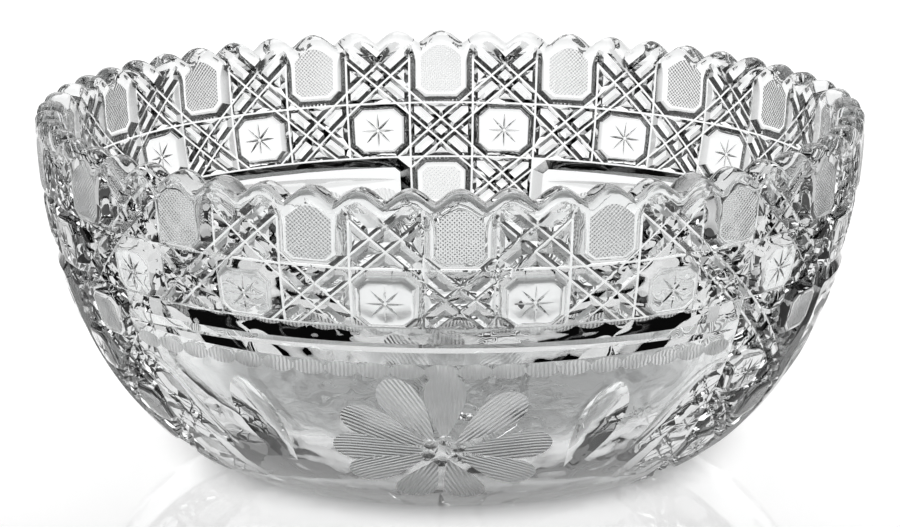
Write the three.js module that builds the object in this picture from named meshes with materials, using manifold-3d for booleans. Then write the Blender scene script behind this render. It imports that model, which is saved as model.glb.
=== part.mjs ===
// A heavy clear cut-glass bowl, one solid piece of crystal. Its rim is scalloped, two rows of
// octagonal buttons and crossed mitre cuts ring the wall, and three strips of the same cane
// pattern run down to the foot between three panels with leaf-shaped cuts and banded tops.
// Millimetres, +Z up, origin at the centre of the foot on the table, 0 degrees of turn at -Y.

import * as THREE from "three";
import { mergeVertices } from "three/addons/utils/BufferGeometryUtils.js";
import Module from "manifold-3d";

const DEG = Math.PI / 180;
const FULL_TURN = 2 * Math.PI;

// Overall form
const RIM_RADIUS = 101.6;
const FOOT_RADIUS = 52;
const HEIGHT = 87.4;
const RIM_WALL = 7;
const FLOOR_THICKNESS = 11;
const FOOT_TILT = 7.5 * DEG; // angle on the wall's ellipse at which the wall meets the foot

// Scalloped rim
const SCALLOPS_PER_PAIR = 3; // over each two columns of the pattern
const SCALLOP_DEPTH = 3.1;
const SCALLOP_STEPS = 4;
const RIM_SPARE = 1; // blank left above the rim for the scallops to be cut from

// Layout of the cut pattern. A tilt is an angle on the wall's ellipse, 90 degrees at the rim.
const PANELS = 3;
const PANEL_COLUMNS = 10;
const STRIP_COLUMNS = 2;
const RING_ROWS = 2;
const STRIP_ROWS = 6;
const RIM_BAND = 2.9 * DEG; // from the scallops' crests down to the top row
const FOOT_BAND = 0.6 * DEG; // from the lowest row down to the foot

// Mitre cuts, with cell shares: 1 is the side of a cell
const MITRE_DEPTH = 2.5;
const CORNER_CUT = 0.21;
const BUTTON_BEVEL = 0.14;
const STAR_DEPTH = 0.9;
const STAR_MARGIN = 0.045; // between the tips of a star and the edge of its button's land
const STAR_NECK = 0.055;

// Bevel, flat strip and long cut along the top of a panel, one under the other down the wall
const PANEL_BEVEL = 2.8;
const PANEL_STRIP = 1;
const LONG_CUT_WIDTH = 4.7;
const LONG_CUT_DEPTH = 1.5;
const CUT_END_GAP = 2.5 * DEG; // the cut runs out to points this far from the panel's sides
const PANEL_LOWER_STEPS = 6;

// Leaf-shaped cuts, each from its top to its tip, on both sides of a panel's middle. A depth
// is below the straight line between the two ends, which the wall bulges over.
const LEAVES = [
  {
    top: { turn: 29 * DEG, tilt: 56 * DEG },
    tip: { turn: 24 * DEG, tilt: 32.5 * DEG },
    width: 11,
    depth: 1,
  },
  {
    top: { turn: 47 * DEG, tilt: 57 * DEG },
    tip: { turn: 35 * DEG, tilt: 36 * DEG },
    width: 11,
    depth: 1,
  },
];
const LEAF_SIDES = 8;
const LEAF_RINGS = 8;

// Flower engraved in the middle of a panel, its petals spread unevenly as cut by hand
const FLOWER_TURN = 2.5 * DEG;
const FLOWER_TILT = 42 * DEG;
const PETAL_ANGLES = [88, 44, 4, -28, -72, -114, -155, -181, -208, -240];
const PETAL_START = 4.5;
const PETAL_REACH = 25.5;
const PETAL_WIDTH = 9.5;
const PETAL_DEPTH = 0.5;
const PETAL_SIDES = 4;
const PETAL_RINGS = 4;

// Rayed star cut under the foot
const RAYS = 24;
const FOOT_RING = 8; // flat ring between the tips of the rays and the foot's edge
const RAY_START = 7;
const RAY_WIDEST = 0.27; // share of a ray's length at which it is widest and deepest
const RAY_SPREAD = 0.75; // share of the pitch that a ray takes there
const RAY_DEPTH = 1.2;

// Smooth inside
const INSIDE_SIDES = 54;
const INSIDE_RINGS = 8;

const COLUMNS = PANELS * (PANEL_COLUMNS + STRIP_COLUMNS);
const COLUMN = FULL_TURN / COLUMNS;
const SCALLOPS = (COLUMNS / 2) * SCALLOPS_PER_PAIR;

// The wall is an arc of an ellipse turned round the axis; its centre runs on a circle.
const WALL_HIGH = HEIGHT / Math.cos(FOOT_TILT);
const WALL_WIDE = (RIM_RADIUS - FOOT_RADIUS) / (1 - Math.sin(FOOT_TILT));
const CENTRE_RADIUS = RIM_RADIUS - WALL_WIDE;
const INSIDE_WIDE = WALL_WIDE - RIM_WALL;
const INSIDE_HIGH = HEIGHT - FLOOR_THICKNESS;

const BLANK_TILT = 90 * DEG + RIM_SPARE / WALL_HIGH;
const ROWS_TOP = 90 * DEG - RIM_BAND;
const STRIP_FOOT = FOOT_TILT + FOOT_BAND;
const ROW_TILT = (ROWS_TOP - STRIP_FOOT) / (RING_ROWS + STRIP_ROWS);
const STRIP_TOP = STRIP_FOOT + STRIP_ROWS * ROW_TILT;

const RAY_REACH = FOOT_RADIUS - FOOT_RING;
const RAY_WAIST = RAY_START + RAY_WIDEST * (RAY_REACH - RAY_START);

const MERGE_GAP = 1e-4; // points closer than this are one point

const wasm = await Module();
wasm.setup();

// A point at a turn round the axis, a radius from it and a height.
function ringPoint(turn, radius, height) {
  return [radius * Math.sin(turn), -radius * Math.cos(turn), height];
}

// A point on the outer wall, sunk by a depth along the wall's normal.
function wallPoint(turn, tilt, depth) {
  const across = WALL_HIGH * Math.sin(tilt);
  const down = WALL_WIDE * Math.cos(tilt);
  const length = Math.hypot(across, down);
  const radius = CENTRE_RADIUS + WALL_WIDE * Math.sin(tilt) - (depth * across) / length;
  const height = HEIGHT - WALL_HIGH * Math.cos(tilt) + (depth * down) / length;
  return ringPoint(turn, radius, height);
}

// The tilt that lies a distance down the wall from another tilt.
function tiltBelow(tilt, distance) {
  return tilt - distance / Math.hypot(WALL_WIDE * Math.cos(tilt), WALL_HIGH * Math.sin(tilt));
}

// Fans a polygon, counter-clockwise from outside, into triangles.
function addFace(triangles, polygon) {
  for (let i = 2; i < polygon.length; i += 1) {
    triangles.push(polygon[0], polygon[i - 1], polygon[i]);
  }
}

// Joins two rows of points with triangles, stepping along whichever row is behind.
// Each point carries `at`, its place along the row; `upper` lies further up the wall.
function stitch(triangles, lower, upper) {
  let i = 0;
  let j = 0;
  while (i < lower.length - 1 || j < upper.length - 1) {
    const lowerNext = i < lower.length - 1 ? lower[i + 1].at : Infinity;
    const upperNext = j < upper.length - 1 ? upper[j + 1].at : Infinity;
    if (lowerNext <= upperNext) {
      triangles.push(lower[i].point, lower[i + 1].point, upper[j].point);
      i += 1;
    } else {
      triangles.push(lower[i].point, upper[j + 1].point, upper[j].point);
      j += 1;
    }
  }
}

// A closed ring of points at even turns, its first point repeated at the end.
function evenRing(count, pointAt) {
  return Array.from({ length: count + 1 }, (_, i) => {
    const at = (FULL_TURN * i) / count;
    return { at, point: pointAt(at) };
  });
}

// Cell shapes are polygons of [x, y, depth share] in a unit square centred on 0.
const HALF = 0.5;
const CORNER = [HALF, HALF, 1];
const SIDE_HIGH = [HALF, HALF - CORNER_CUT, 1];
const SIDE_LOW = [HALF, CORNER_CUT - HALF, 1];
const TOP_RIGHT = [HALF - CORNER_CUT, HALF, 1];

function quarterTurned([x, y, depth], turns) {
  return turns === 0 ? [x, y, depth] : quarterTurned([-y, x, depth], turns - 1);
}

function onQuarters(faces, quarters) {
  return quarters.flatMap((turns) => faces.map((face) => face.map((p) => quarterTurned(p, turns))));
}

function mirrored(face) {
  return face.map(([x, y, depth]) => [-x, y, depth]).reverse();
}

// Paired diagonal cuts cross in an X: ridges in the corners, a pyramid on each side and a
// small diamond in the middle. Heights follow the distance from the nearest cut.
const RIDGE = CORNER_CUT / Math.SQRT2;
const CROSS_RIGHT = [CORNER_CUT, 0, 1];
const CROSS_TOP = [0, CORNER_CUT, 1];
const RIDGE_INNER = [CORNER_CUT, CORNER_CUT, 0];
const RIDGE_OUTER = [HALF - RIDGE, HALF - RIDGE, 0];

function crossedQuarter() {
  const hip = (HALF - CORNER_CUT) * (Math.SQRT2 - 1);
  const sidePeak = [HALF - hip, 0, 1 - hip / RIDGE];
  return {
    corner: [
      [CORNER, RIDGE_OUTER, SIDE_HIGH],
      [CORNER, TOP_RIGHT, RIDGE_OUTER],
      [TOP_RIGHT, CROSS_TOP, RIDGE_INNER, RIDGE_OUTER],
    ],
    ridge: [[SIDE_HIGH, RIDGE_OUTER, RIDGE_INNER, CROSS_RIGHT]],
    side: [
      [SIDE_LOW, SIDE_HIGH, sidePeak],
      [SIDE_HIGH, CROSS_RIGHT, sidePeak],
      [CROSS_RIGHT, SIDE_LOW, sidePeak],
    ],
    middle: [
      [CROSS_RIGHT, RIDGE_INNER, CROSS_TOP],
      [CROSS_RIGHT, CROSS_TOP, [0, 0, 0]],
    ],
  };
}

function crossedCell() {
  const { corner, ridge, side, middle } = crossedQuarter();
  return onQuarters([...corner, ...ridge, ...side, ...middle], [0, 1, 2, 3]);
}

// In the top row no cut runs along the rim, so the side cuts, the diagonals and a land between
// them run out through it. Each share is where a height reaches the rim, from the cell's side.
const RIM_VALLEY = CORNER_CUT;
const RIM_HIP = (HALF - CORNER_CUT) * (1 - Math.SQRT1_2);
const RIM_HIP_DEPTH = 1 - RIM_HIP / RIDGE;
const RIM_LAND = 2 * CORNER_CUT;

function rimCrossed() {
  const { corner, ridge, side, middle } = crossedQuarter();
  const hip = [HALF - RIM_HIP, HALF, RIM_HIP_DEPTH];
  const land = [HALF - RIM_LAND, HALF, 0];
  const landFoot = [0, RIM_LAND, 0];
  const openHalf = [
    ...ridge,
    [SIDE_HIGH, CORNER, hip, RIDGE_OUTER],
    [TOP_RIGHT, CROSS_TOP, RIDGE_INNER, RIDGE_OUTER, hip],
    [CROSS_TOP, TOP_RIGHT, land, landFoot],
  ];
  return [
    ...onQuarters(middle, [0, 1, 2, 3]),
    ...onQuarters(side, [0, 2, 3]),
    ...onQuarters([...corner, ...ridge], [2, 3]),
    ...openHalf,
    ...openHalf.map(mirrored),
    [landFoot, land, ...mirrored([land])],
  ];
}

// Points and faces that every octagonal button has on each quarter.
const LAND_INSET = HALF - CORNER_CUT - BUTTON_BEVEL * (Math.SQRT2 - 1);
const LAND_HIGH = [HALF - BUTTON_BEVEL, LAND_INSET, 0];
const LAND_LOW = [HALF - BUTTON_BEVEL, -LAND_INSET, 0];
const LAND_TOP = [LAND_INSET, HALF - BUTTON_BEVEL, 0];
const BUTTON_SIDE = [SIDE_LOW, SIDE_HIGH, LAND_HIGH, LAND_LOW];

function buttonCorner() {
  const inset = CORNER_CUT * (1 - Math.SQRT1_2);
  const peak = [HALF - inset, HALF - inset, 1 - inset / BUTTON_BEVEL];
  return [
    [CORNER, peak, SIDE_HIGH],
    [CORNER, TOP_RIGHT, peak],
    [SIDE_HIGH, peak, TOP_RIGHT],
    [SIDE_HIGH, TOP_RIGHT, LAND_TOP, LAND_HIGH],
  ];
}

// A button in the top row is open to the rim: it has no bevel or corner cuts above.
function rimButton() {
  const rimRight = [HALF - BUTTON_BEVEL, HALF, 0];
  const openSide = [SIDE_LOW, SIDE_HIGH, CORNER, rimRight, LAND_LOW];
  const lowerRim = [LAND_LOW, rimRight, ...mirrored([LAND_LOW, rimRight])];
  const land = [...lowerRim, quarterTurned(LAND_LOW, 3), quarterTurned(LAND_HIGH, 3)];
  return [
    openSide,
    mirrored(openSide),
    land,
    ...onQuarters([BUTTON_SIDE], [3]),
    ...onQuarters(buttonCorner(), [2, 3]),
  ];
}

function plainButton() {
  const land = onQuarters([[LAND_HIGH, LAND_TOP]], [0, 1, 2, 3]).flat();
  return [land, ...onQuarters([BUTTON_SIDE, ...buttonCorner()], [0, 1, 2, 3])];
}

// A button whose land carries a star of eight mitre rays, deepest in the middle.
function starButton() {
  const reach = HALF - BUTTON_BEVEL - STAR_MARGIN;
  const starPoint = (radius, degrees) => {
    const angle = degrees * DEG;
    return [radius * Math.cos(angle), radius * Math.sin(angle), 0];
  };
  const centre = [0, 0, STAR_DEPTH / MITRE_DEPTH];
  const [rayRight, rayCorner, rayTop] = [0, 45, 90].map((angle) => starPoint(reach, angle));
  const [neckRight, neckTop] = [22.5, 67.5].map((angle) => starPoint(STAR_NECK, angle));
  const quarter = [
    BUTTON_SIDE,
    ...buttonCorner(),
    [LAND_LOW, LAND_HIGH, rayRight],
    [rayRight, LAND_HIGH, neckRight],
    [neckRight, LAND_HIGH, rayCorner],
    [LAND_HIGH, LAND_TOP, rayCorner],
    [rayCorner, LAND_TOP, neckTop],
    [neckTop, LAND_TOP, rayTop],
    [centre, rayRight, neckRight],
    [centre, neckRight, rayCorner],
    [centre, rayCorner, neckTop],
    [centre, neckTop, rayTop],
  ];
  return onQuarters(quarter, [0, 1, 2, 3]);
}

const CROSSED = crossedCell();
const RIM_CROSSED = rimCrossed();
const RIM_BUTTON = rimButton();
const PLAIN_BUTTON = plainButton();
const STAR_BUTTON = starButton();

// Buttons and crossed cells alternate like a chequerboard; every other row's buttons have stars.
function cellShape(row, column) {
  const isCrossed = (row + column) % 2 !== 0;
  if (row === 0) return isCrossed ? RIM_CROSSED : RIM_BUTTON;
  if (isCrossed) return CROSSED;
  return row % 2 === 0 ? PLAIN_BUTTON : STAR_BUTTON;
}

// Lays a cell shape on the wall. The top row reaches up to the blank's edge.
function addCell(triangles, row, column) {
  const middle = ROWS_TOP - (row + HALF) * ROW_TILT;
  for (const face of cellShape(row, column)) {
    const polygon = face.map(([x, y, depth]) => {
      const tilt = row === 0 && y === HALF ? BLANK_TILT : middle + y * ROW_TILT;
      return wallPoint((column + x + HALF) * COLUMN, tilt, depth * MITRE_DEPTH);
    });
    addFace(triangles, polygon);
  }
}

// Turns of the points that a row of cells has along its lower or upper side.
const POINTS_PER_CELL = 3;
function cellTurns(firstColumn, columnCount) {
  const turns = [];
  for (let column = firstColumn; column < firstColumn + columnCount; column += 1) {
    turns.push(column, column + CORNER_CUT, column + 1 - CORNER_CUT);
  }
  turns.push(firstColumn + columnCount);
  return turns.map((turn) => turn * COLUMN);
}

function wallRow(turns, tilt, depthAt) {
  return turns.map((at) => ({ at, point: wallPoint(at, tilt, depthAt(at)) }));
}

// The two rows of cells that ring the bowl under the rim.
function addRingRows(triangles) {
  for (let row = 0; row < RING_ROWS; row += 1) {
    for (let column = 0; column < COLUMNS; column += 1) addCell(triangles, row, column);
  }
}

// A strip of cells from the ring rows down to the foot, ending in a plain band.
function addStrip(triangles, firstColumn) {
  for (let row = RING_ROWS; row < RING_ROWS + STRIP_ROWS; row += 1) {
    for (let column = firstColumn; column < firstColumn + STRIP_COLUMNS; column += 1) {
      addCell(triangles, row, column);
    }
  }
  const turns = cellTurns(firstColumn, STRIP_COLUMNS);
  const footRow = wallRow(turns, FOOT_TILT, () => 0);
  const cutRow = wallRow(turns, STRIP_FOOT, () => MITRE_DEPTH);
  stitch(triangles, footRow, cutRow);
}

// The points that a strip has along its side, from the foot up, where a panel joins it.
function stripSide(turn) {
  const side = [{ at: FOOT_TILT, point: wallPoint(turn, FOOT_TILT, 0) }];
  for (let row = 0; row < STRIP_ROWS; row += 1) {
    for (const share of [0, CORNER_CUT, 1 - CORNER_CUT]) {
      const at = STRIP_FOOT + (row + share) * ROW_TILT;
      side.push({ at, point: wallPoint(turn, at, MITRE_DEPTH) });
    }
  }
  side.push({ at: STRIP_TOP, point: wallPoint(turn, STRIP_TOP, MITRE_DEPTH) });
  return side;
}

// A panel: a bevel, a long horizontal cut that thins out to points, then plain wall to the foot.
function addPanel(triangles, firstColumn) {
  const turns = cellTurns(firstColumn, PANEL_COLUMNS);
  const middle = (firstColumn + PANEL_COLUMNS / 2) * COLUMN;
  const reach = (PANEL_COLUMNS / 2) * COLUMN - CUT_END_GAP;
  const taper = (turn) => Math.sqrt(Math.max(0, 1 - ((turn - middle) / reach) ** 2));
  const cutTop = PANEL_BEVEL + PANEL_STRIP;
  const lowerLip = tiltBelow(STRIP_TOP, cutTop + LONG_CUT_WIDTH);
  const inner = turns.slice(1, -1);
  const isColumnLine = (i) => i % POINTS_PER_CELL === POINTS_PER_CELL - 1;
  const spaced = inner.filter((_, i) => i === 0 || i === inner.length - 1 || isColumnLine(i));
  const rows = [];
  for (let step = 0; step <= PANEL_LOWER_STEPS; step += 1) {
    const tilt = FOOT_TILT + ((lowerLip - FOOT_TILT) * step) / PANEL_LOWER_STEPS;
    rows.push({ tilt, depthAt: () => 0 });
  }
  const addRow = (below, depthAt) => rows.push({ tilt: tiltBelow(STRIP_TOP, below), depthAt });
  addRow(cutTop + LONG_CUT_WIDTH / 2, (turn) => LONG_CUT_DEPTH * taper(turn));
  addRow(cutTop, () => 0);
  addRow(PANEL_BEVEL, () => 0);
  addRow(0, () => MITRE_DEPTH);
  const grid = rows.map(({ tilt, depthAt }, row) => {
    const isEdge = row === 0 || row === rows.length - 1; // these meet the foot and the cells above
    return wallRow(isEdge ? inner : spaced, tilt, depthAt);
  });
  for (let row = 1; row < grid.length; row += 1) stitch(triangles, grid[row - 1], grid[row]);
  const edgeAt = (end) => grid.map((line, row) => ({ at: rows[row].tilt, point: line.at(end).point }));
  stitch(triangles, edgeAt(0), stripSide(turns[0]));
  stitch(triangles, stripSide(turns.at(-1)), edgeAt(-1));
}

// The flat foot with a star of long mitre rays, from its centre out to the foot's edge.
function addFoot(triangles) {
  const pitch = FULL_TURN / RAYS;
  const spread = (RAY_SPREAD * pitch) / 2;
  for (let ray = 0; ray < RAYS; ray += 1) {
    const turn = ray * pitch;
    const next = turn + pitch;
    const start = ringPoint(turn, RAY_START, 0);
    const nextStart = ringPoint(next, RAY_START, 0);
    const tip = ringPoint(turn, RAY_REACH, 0);
    const nextTip = ringPoint(next, RAY_REACH, 0);
    const before = ringPoint(turn - spread, RAY_WAIST, 0);
    const after = ringPoint(turn + spread, RAY_WAIST, 0);
    const nextBefore = ringPoint(next - spread, RAY_WAIST, 0);
    const floor = ringPoint(turn, RAY_WAIST, RAY_DEPTH);
    addFace(triangles, [[0, 0, 0], nextStart, start]);
    addFace(triangles, [start, nextStart, nextBefore, after]);
    addFace(triangles, [after, nextBefore, nextTip, tip]);
    addFace(triangles, [start, after, floor]);
    addFace(triangles, [after, tip, floor]);
    addFace(triangles, [tip, before, floor]);
    addFace(triangles, [before, start, floor]);
  }
  const tips = evenRing(RAYS, (turn) => ringPoint(turn, RAY_REACH, 0));
  const edge = cellTurns(0, COLUMNS).map((at) => ({ at, point: wallPoint(at, FOOT_TILT, 0) }));
  stitch(triangles, tips, edge);
}

// Turns and depths of the points along the blank's upper outer edge.
function rimEdge() {
  const edge = [];
  const buttonEdge = [
    [0, 1],
    [BUTTON_BEVEL, 0],
    [1 - BUTTON_BEVEL, 0],
  ];
  const crossedEdge = [
    [0, 1],
    [RIM_HIP, RIM_HIP_DEPTH],
    [RIM_VALLEY, 1],
    [RIM_LAND, 0],
    [1 - RIM_LAND, 0],
    [1 - RIM_VALLEY, 1],
    [1 - RIM_HIP, RIM_HIP_DEPTH],
  ];
  for (let column = 0; column < COLUMNS; column += 1) {
    const shape = column % 2 === 0 ? buttonEdge : crossedEdge;
    edge.push(...shape.map(([share, depth]) => [column + share, depth]));
  }
  edge.push([COLUMNS, 1]);
  return edge.map(([place, depth]) => {
    const at = place * COLUMN;
    return { at, point: wallPoint(at, BLANK_TILT, depth * MITRE_DEPTH) };
  });
}

// The smooth inside, from the rim down to the middle of the floor, and the blank's top.
function addInside(triangles) {
  let last = rimEdge();
  for (let ring = 0; ring <= INSIDE_RINGS; ring += 1) {
    const tilt = BLANK_TILT * (1 - ring / INSIDE_RINGS);
    const radius = CENTRE_RADIUS + INSIDE_WIDE * Math.sin(tilt);
    const height = HEIGHT - INSIDE_HIGH * Math.cos(tilt);
    const next = evenRing(INSIDE_SIDES, (turn) => ringPoint(turn, radius, height));
    stitch(triangles, last, next);
    last = next;
  }
  for (let i = 0; i < INSIDE_SIDES; i += 1) {
    triangles.push(last[i].point, last[i + 1].point, [0, 0, FLOOR_THICKNESS]);
  }
}

function toSolid(geometry) {
  const bare = new THREE.BufferGeometry();
  bare.setAttribute("position", geometry.getAttribute("position"));
  bare.setIndex(geometry.index);
  const merged = mergeVertices(bare, MERGE_GAP);
  return new wasm.Manifold(
    new wasm.Mesh({
      numProp: 3,
      vertProperties: new Float32Array(merged.getAttribute("position").array),
      triVerts: new Uint32Array(merged.index.array),
    }),
  );
}

function solidFromTriangles(triangles) {
  const geometry = new THREE.BufferGeometry();
  geometry.setAttribute("position", new THREE.Float32BufferAttribute(triangles.flat(), 3));
  return toSolid(geometry);
}

function cutBlank() {
  const triangles = [];
  addFoot(triangles);
  for (let panel = 0; panel < PANELS; panel += 1) {
    const firstColumn = panel * (PANEL_COLUMNS + STRIP_COLUMNS) - PANEL_COLUMNS / 2;
    addPanel(triangles, firstColumn);
    addStrip(triangles, firstColumn + PANEL_COLUMNS);
  }
  addRingRows(triangles);
  addInside(triangles);
  return solidFromTriangles(triangles);
}

// What is ground off the rim: a ring whose underside rises to a round scallop over every
// button and drops to a notch between scallops.
function scallopCutter() {
  const outside = RIM_RADIUS + RIM_WALL;
  const inside = RIM_RADIUS - 2 * RIM_WALL;
  const top = HEIGHT + 2 * RIM_SPARE;
  const buttonMiddle = COLUMN / 2;
  const firstNotch = buttonMiddle + FULL_TURN / SCALLOPS / 2;
  const crestAt = (turn) => {
    const arch = Math.abs(Math.cos((SCALLOPS / 2) * (turn - buttonMiddle)));
    return HEIGHT - SCALLOP_DEPTH * (1 - arch);
  };
  const ringAt = (radius, heightAt) =>
    evenRing(SCALLOPS * SCALLOP_STEPS, (turn) => {
      return ringPoint(turn + firstNotch, radius, heightAt(turn + firstNotch));
    });
  const rings = [
    ringAt(outside, crestAt),
    ringAt(inside, crestAt),
    ringAt(inside, () => top),
    ringAt(outside, () => top),
  ];
  const triangles = [];
  rings.forEach((ring, i) => stitch(triangles, rings[(i + 1) % rings.length], ring));
  return solidFromTriangles(triangles);
}

// A cutter for a hollow between two places on the wall: an ellipsoid that dips below the
// straight line from one end to the other, so that the cut thins out at both.
function hollowCutter(top, tip, { width, depth, sides, rings }) {
  const pointAt = (share, sink) => {
    const turn = top.turn + (tip.turn - top.turn) * share;
    const tilt = top.tilt + (tip.tilt - top.tilt) * share;
    return new THREE.Vector3(...wallPoint(turn, tilt, sink));
  };
  const along = new THREE.Vector3().subVectors(pointAt(0, 0), pointAt(1, 0));
  const length = along.length();
  along.normalize();
  const out = new THREE.Vector3().subVectors(pointAt(0.5, -1), pointAt(0.5, 0));
  const across = new THREE.Vector3().crossVectors(along, out).normalize();
  out.crossVectors(across, along);
  const grown = 2 / Math.sqrt(3); // the line lies half way from the ellipsoid's centre to its bottom
  const geometry = new THREE.SphereGeometry(1, sides, rings);
  geometry.scale((width / 2) * grown, (length / 2) * grown, 2 * depth);
  const frame = new THREE.Matrix4().makeBasis(across, along, out);
  const middle = new THREE.Vector3().addVectors(pointAt(0, 0), pointAt(1, 0)).multiplyScalar(0.5);
  frame.setPosition(middle.addScaledVector(out, depth));
  return toSolid(geometry.applyMatrix4(frame));
}

// A pair of leaf cuts, one on each side of a panel's middle.
function leafCutters({ top, tip, width, depth }, middle) {
  const form = { width, depth, sides: LEAF_SIDES, rings: LEAF_RINGS };
  return [1, -1].map((side) => {
    const placed = ({ turn, tilt }) => ({ turn: middle + side * turn, tilt });
    return hollowCutter(placed(top), placed(tip), form);
  });
}

// The petals of one flower, each from near the flower's middle out to its tip.
function petalCutters(middle) {
  const form = { width: PETAL_WIDTH, depth: PETAL_DEPTH, sides: PETAL_SIDES, rings: PETAL_RINGS };
  const girth = CENTRE_RADIUS + WALL_WIDE * Math.sin(FLOWER_TILT);
  return PETAL_ANGLES.map((degrees) => {
    const placed = (reach) => ({
      turn: middle + FLOWER_TURN + (reach * Math.cos(degrees * DEG)) / girth,
      tilt: tiltBelow(FLOWER_TILT, -reach * Math.sin(degrees * DEG)),
    });
    return hollowCutter(placed(PETAL_REACH), placed(PETAL_START), form);
  });
}

function buildBowl() {
  const cutters = [scallopCutter()];
  for (let panel = 0; panel < PANELS; panel += 1) {
    const middle = (panel * FULL_TURN) / PANELS;
    cutters.push(...LEAVES.flatMap((leaf) => leafCutters(leaf, middle)), ...petalCutters(middle));
  }
  const bowl = cutters.reduce((glass, cutter) => glass.subtract(cutter), cutBlank());
  const mesh = bowl.getMesh();
  const geometry = new THREE.BufferGeometry();
  geometry.setAttribute("position", new THREE.BufferAttribute(mesh.vertProperties, 3));
  geometry.setIndex(new THREE.BufferAttribute(mesh.triVerts, 1));
  geometry.computeVertexNormals();
  return geometry;
}

const crystal = new THREE.MeshStandardMaterial({
  color: 0xe9ecec,
  roughness: 0.04,
  metalness: 0,
  transparent: true,
  opacity: 0.35,
});

const bowl = new THREE.Mesh(buildBowl(), crystal);
bowl.name = "glass_bowl";

const cutGlassBowl = new THREE.Group();
cutGlassBowl.add(bowl);

export default cutGlassBowl;
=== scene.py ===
"""A heavy bowl of clear cut crystal on a pale studio floor.

The bowl is one piece of glass. Its outer wall is a net of triangles laid out in two parameters, the
turn round the axis and the tilt on the wall's ellipse. Every edge of a cut is a line of that net, and
the depth of the cut at each of its points comes from a formula. Lengths are in millimetres and angles
in degrees until the mesh is made, which is in metres.
"""

import logging
import math
from dataclasses import dataclass, field
from enum import IntEnum
from functools import cached_property

import bmesh
import bpy
import numpy as np
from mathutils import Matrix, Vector
from mathutils.geometry import delaunay_2d_cdt


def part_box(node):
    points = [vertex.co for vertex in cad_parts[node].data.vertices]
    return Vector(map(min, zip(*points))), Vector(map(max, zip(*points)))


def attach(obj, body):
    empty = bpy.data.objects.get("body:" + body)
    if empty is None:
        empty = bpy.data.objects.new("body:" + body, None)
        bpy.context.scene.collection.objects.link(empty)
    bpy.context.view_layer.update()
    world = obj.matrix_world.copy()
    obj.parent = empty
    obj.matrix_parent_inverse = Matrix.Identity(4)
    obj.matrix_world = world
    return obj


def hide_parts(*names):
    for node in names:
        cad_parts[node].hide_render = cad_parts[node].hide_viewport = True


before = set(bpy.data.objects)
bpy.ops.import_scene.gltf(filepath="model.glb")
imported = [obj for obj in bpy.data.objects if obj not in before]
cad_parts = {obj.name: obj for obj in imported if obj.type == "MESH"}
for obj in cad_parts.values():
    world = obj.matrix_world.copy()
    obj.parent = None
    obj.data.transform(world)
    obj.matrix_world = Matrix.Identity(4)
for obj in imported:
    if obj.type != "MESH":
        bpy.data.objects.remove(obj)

Array = np.ndarray

log = logging.getLogger("cut_glass_bowl")

MM = 0.001
BOWL_NODE = "glass_bowl"
RIM_TILT = 90.0
FULL_TURN = 360.0
WELD_GAP = 1e-6
SHARP_ANGLE = 20.0
ROOT2 = math.sqrt(2)
ON_LINE = 1e-3


class Finish(IntEnum):
    """How a face of the glass was left by the cutter."""

    POLISHED = 0
    LINED = 1
    HATCHED = 2


def srgb(code: str) -> tuple[float, float, float, float]:
    """Turns an sRGB hex colour into linear RGBA.

    Args:
        code: The colour as "#rrggbb".

    Returns:
        The linear colour with an alpha of 1.
    """
    parts = np.array([int(code[i : i + 2], 16) for i in (1, 3, 5)]) / 255
    linear = np.where(parts <= 0.04045, parts / 12.92, ((parts + 0.055) / 1.055) ** 2.4)
    return (*map(float, linear), 1.0)


def add_node(tree: bpy.types.NodeTree, kind: str, inputs: dict | None = None, **settings) -> bpy.types.Node:
    """Adds a node to a tree with its settings, values and links.

    Args:
        tree: The node tree.
        kind: The node's Blender type.
        inputs: For each input, by name or number, a value or the output that feeds it.
        settings: Properties of the node itself.

    Returns:
        The new node.
    """
    node = tree.nodes.new(kind)
    for name, value in settings.items():
        setattr(node, name, value)
    for key, value in (inputs or {}).items():
        if isinstance(value, bpy.types.NodeSocket):
            tree.links.new(value, node.inputs[key])
        else:
            node.inputs[key].default_value = value
    return node


def math_node(tree: bpy.types.NodeTree, operation: str, *values) -> bpy.types.NodeSocket:
    """Adds a Math node with values or outputs that feed it, and returns its output."""
    return add_node(tree, "ShaderNodeMath", dict(enumerate(values)), operation=operation).outputs[0]


def soft_step(tree: bpy.types.NodeTree, value: bpy.types.NodeSocket, *span: float) -> bpy.types.NodeSocket:
    """Adds a smooth step of a value.

    Args:
        tree: The node tree.
        value: The output that feeds the step.
        span: Where the step starts and ends, and its result before and after.

    Returns:
        The step's output.
    """
    inputs = dict(enumerate((value, *span)))
    return add_node(tree, "ShaderNodeMapRange", inputs, interpolation_type="SMOOTHSTEP").outputs[0]


def new_tree(owner: bpy.types.Material | bpy.types.World) -> bpy.types.NodeTree:
    """Gives a material or world an empty node tree and returns it."""
    owner.use_nodes = True
    owner.node_tree.nodes.clear()
    return owner.node_tree


def turned(points: Array, quarters: int) -> Array:
    """Turns points of a plane by quarter turns: each takes (x, y) to (-y, x)."""
    matrix = np.linalg.matrix_power(np.array([[0.0, -1.0], [1.0, 0.0]]), quarters)
    return points @ matrix.T


def all_quarters(segments: Array, quarters: tuple[int, ...] = (0, 1, 2, 3)) -> Array:
    """Repeats line segments at several quarter turns and stacks them."""
    return np.concatenate([turned(segments, quarter) for quarter in quarters])


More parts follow.
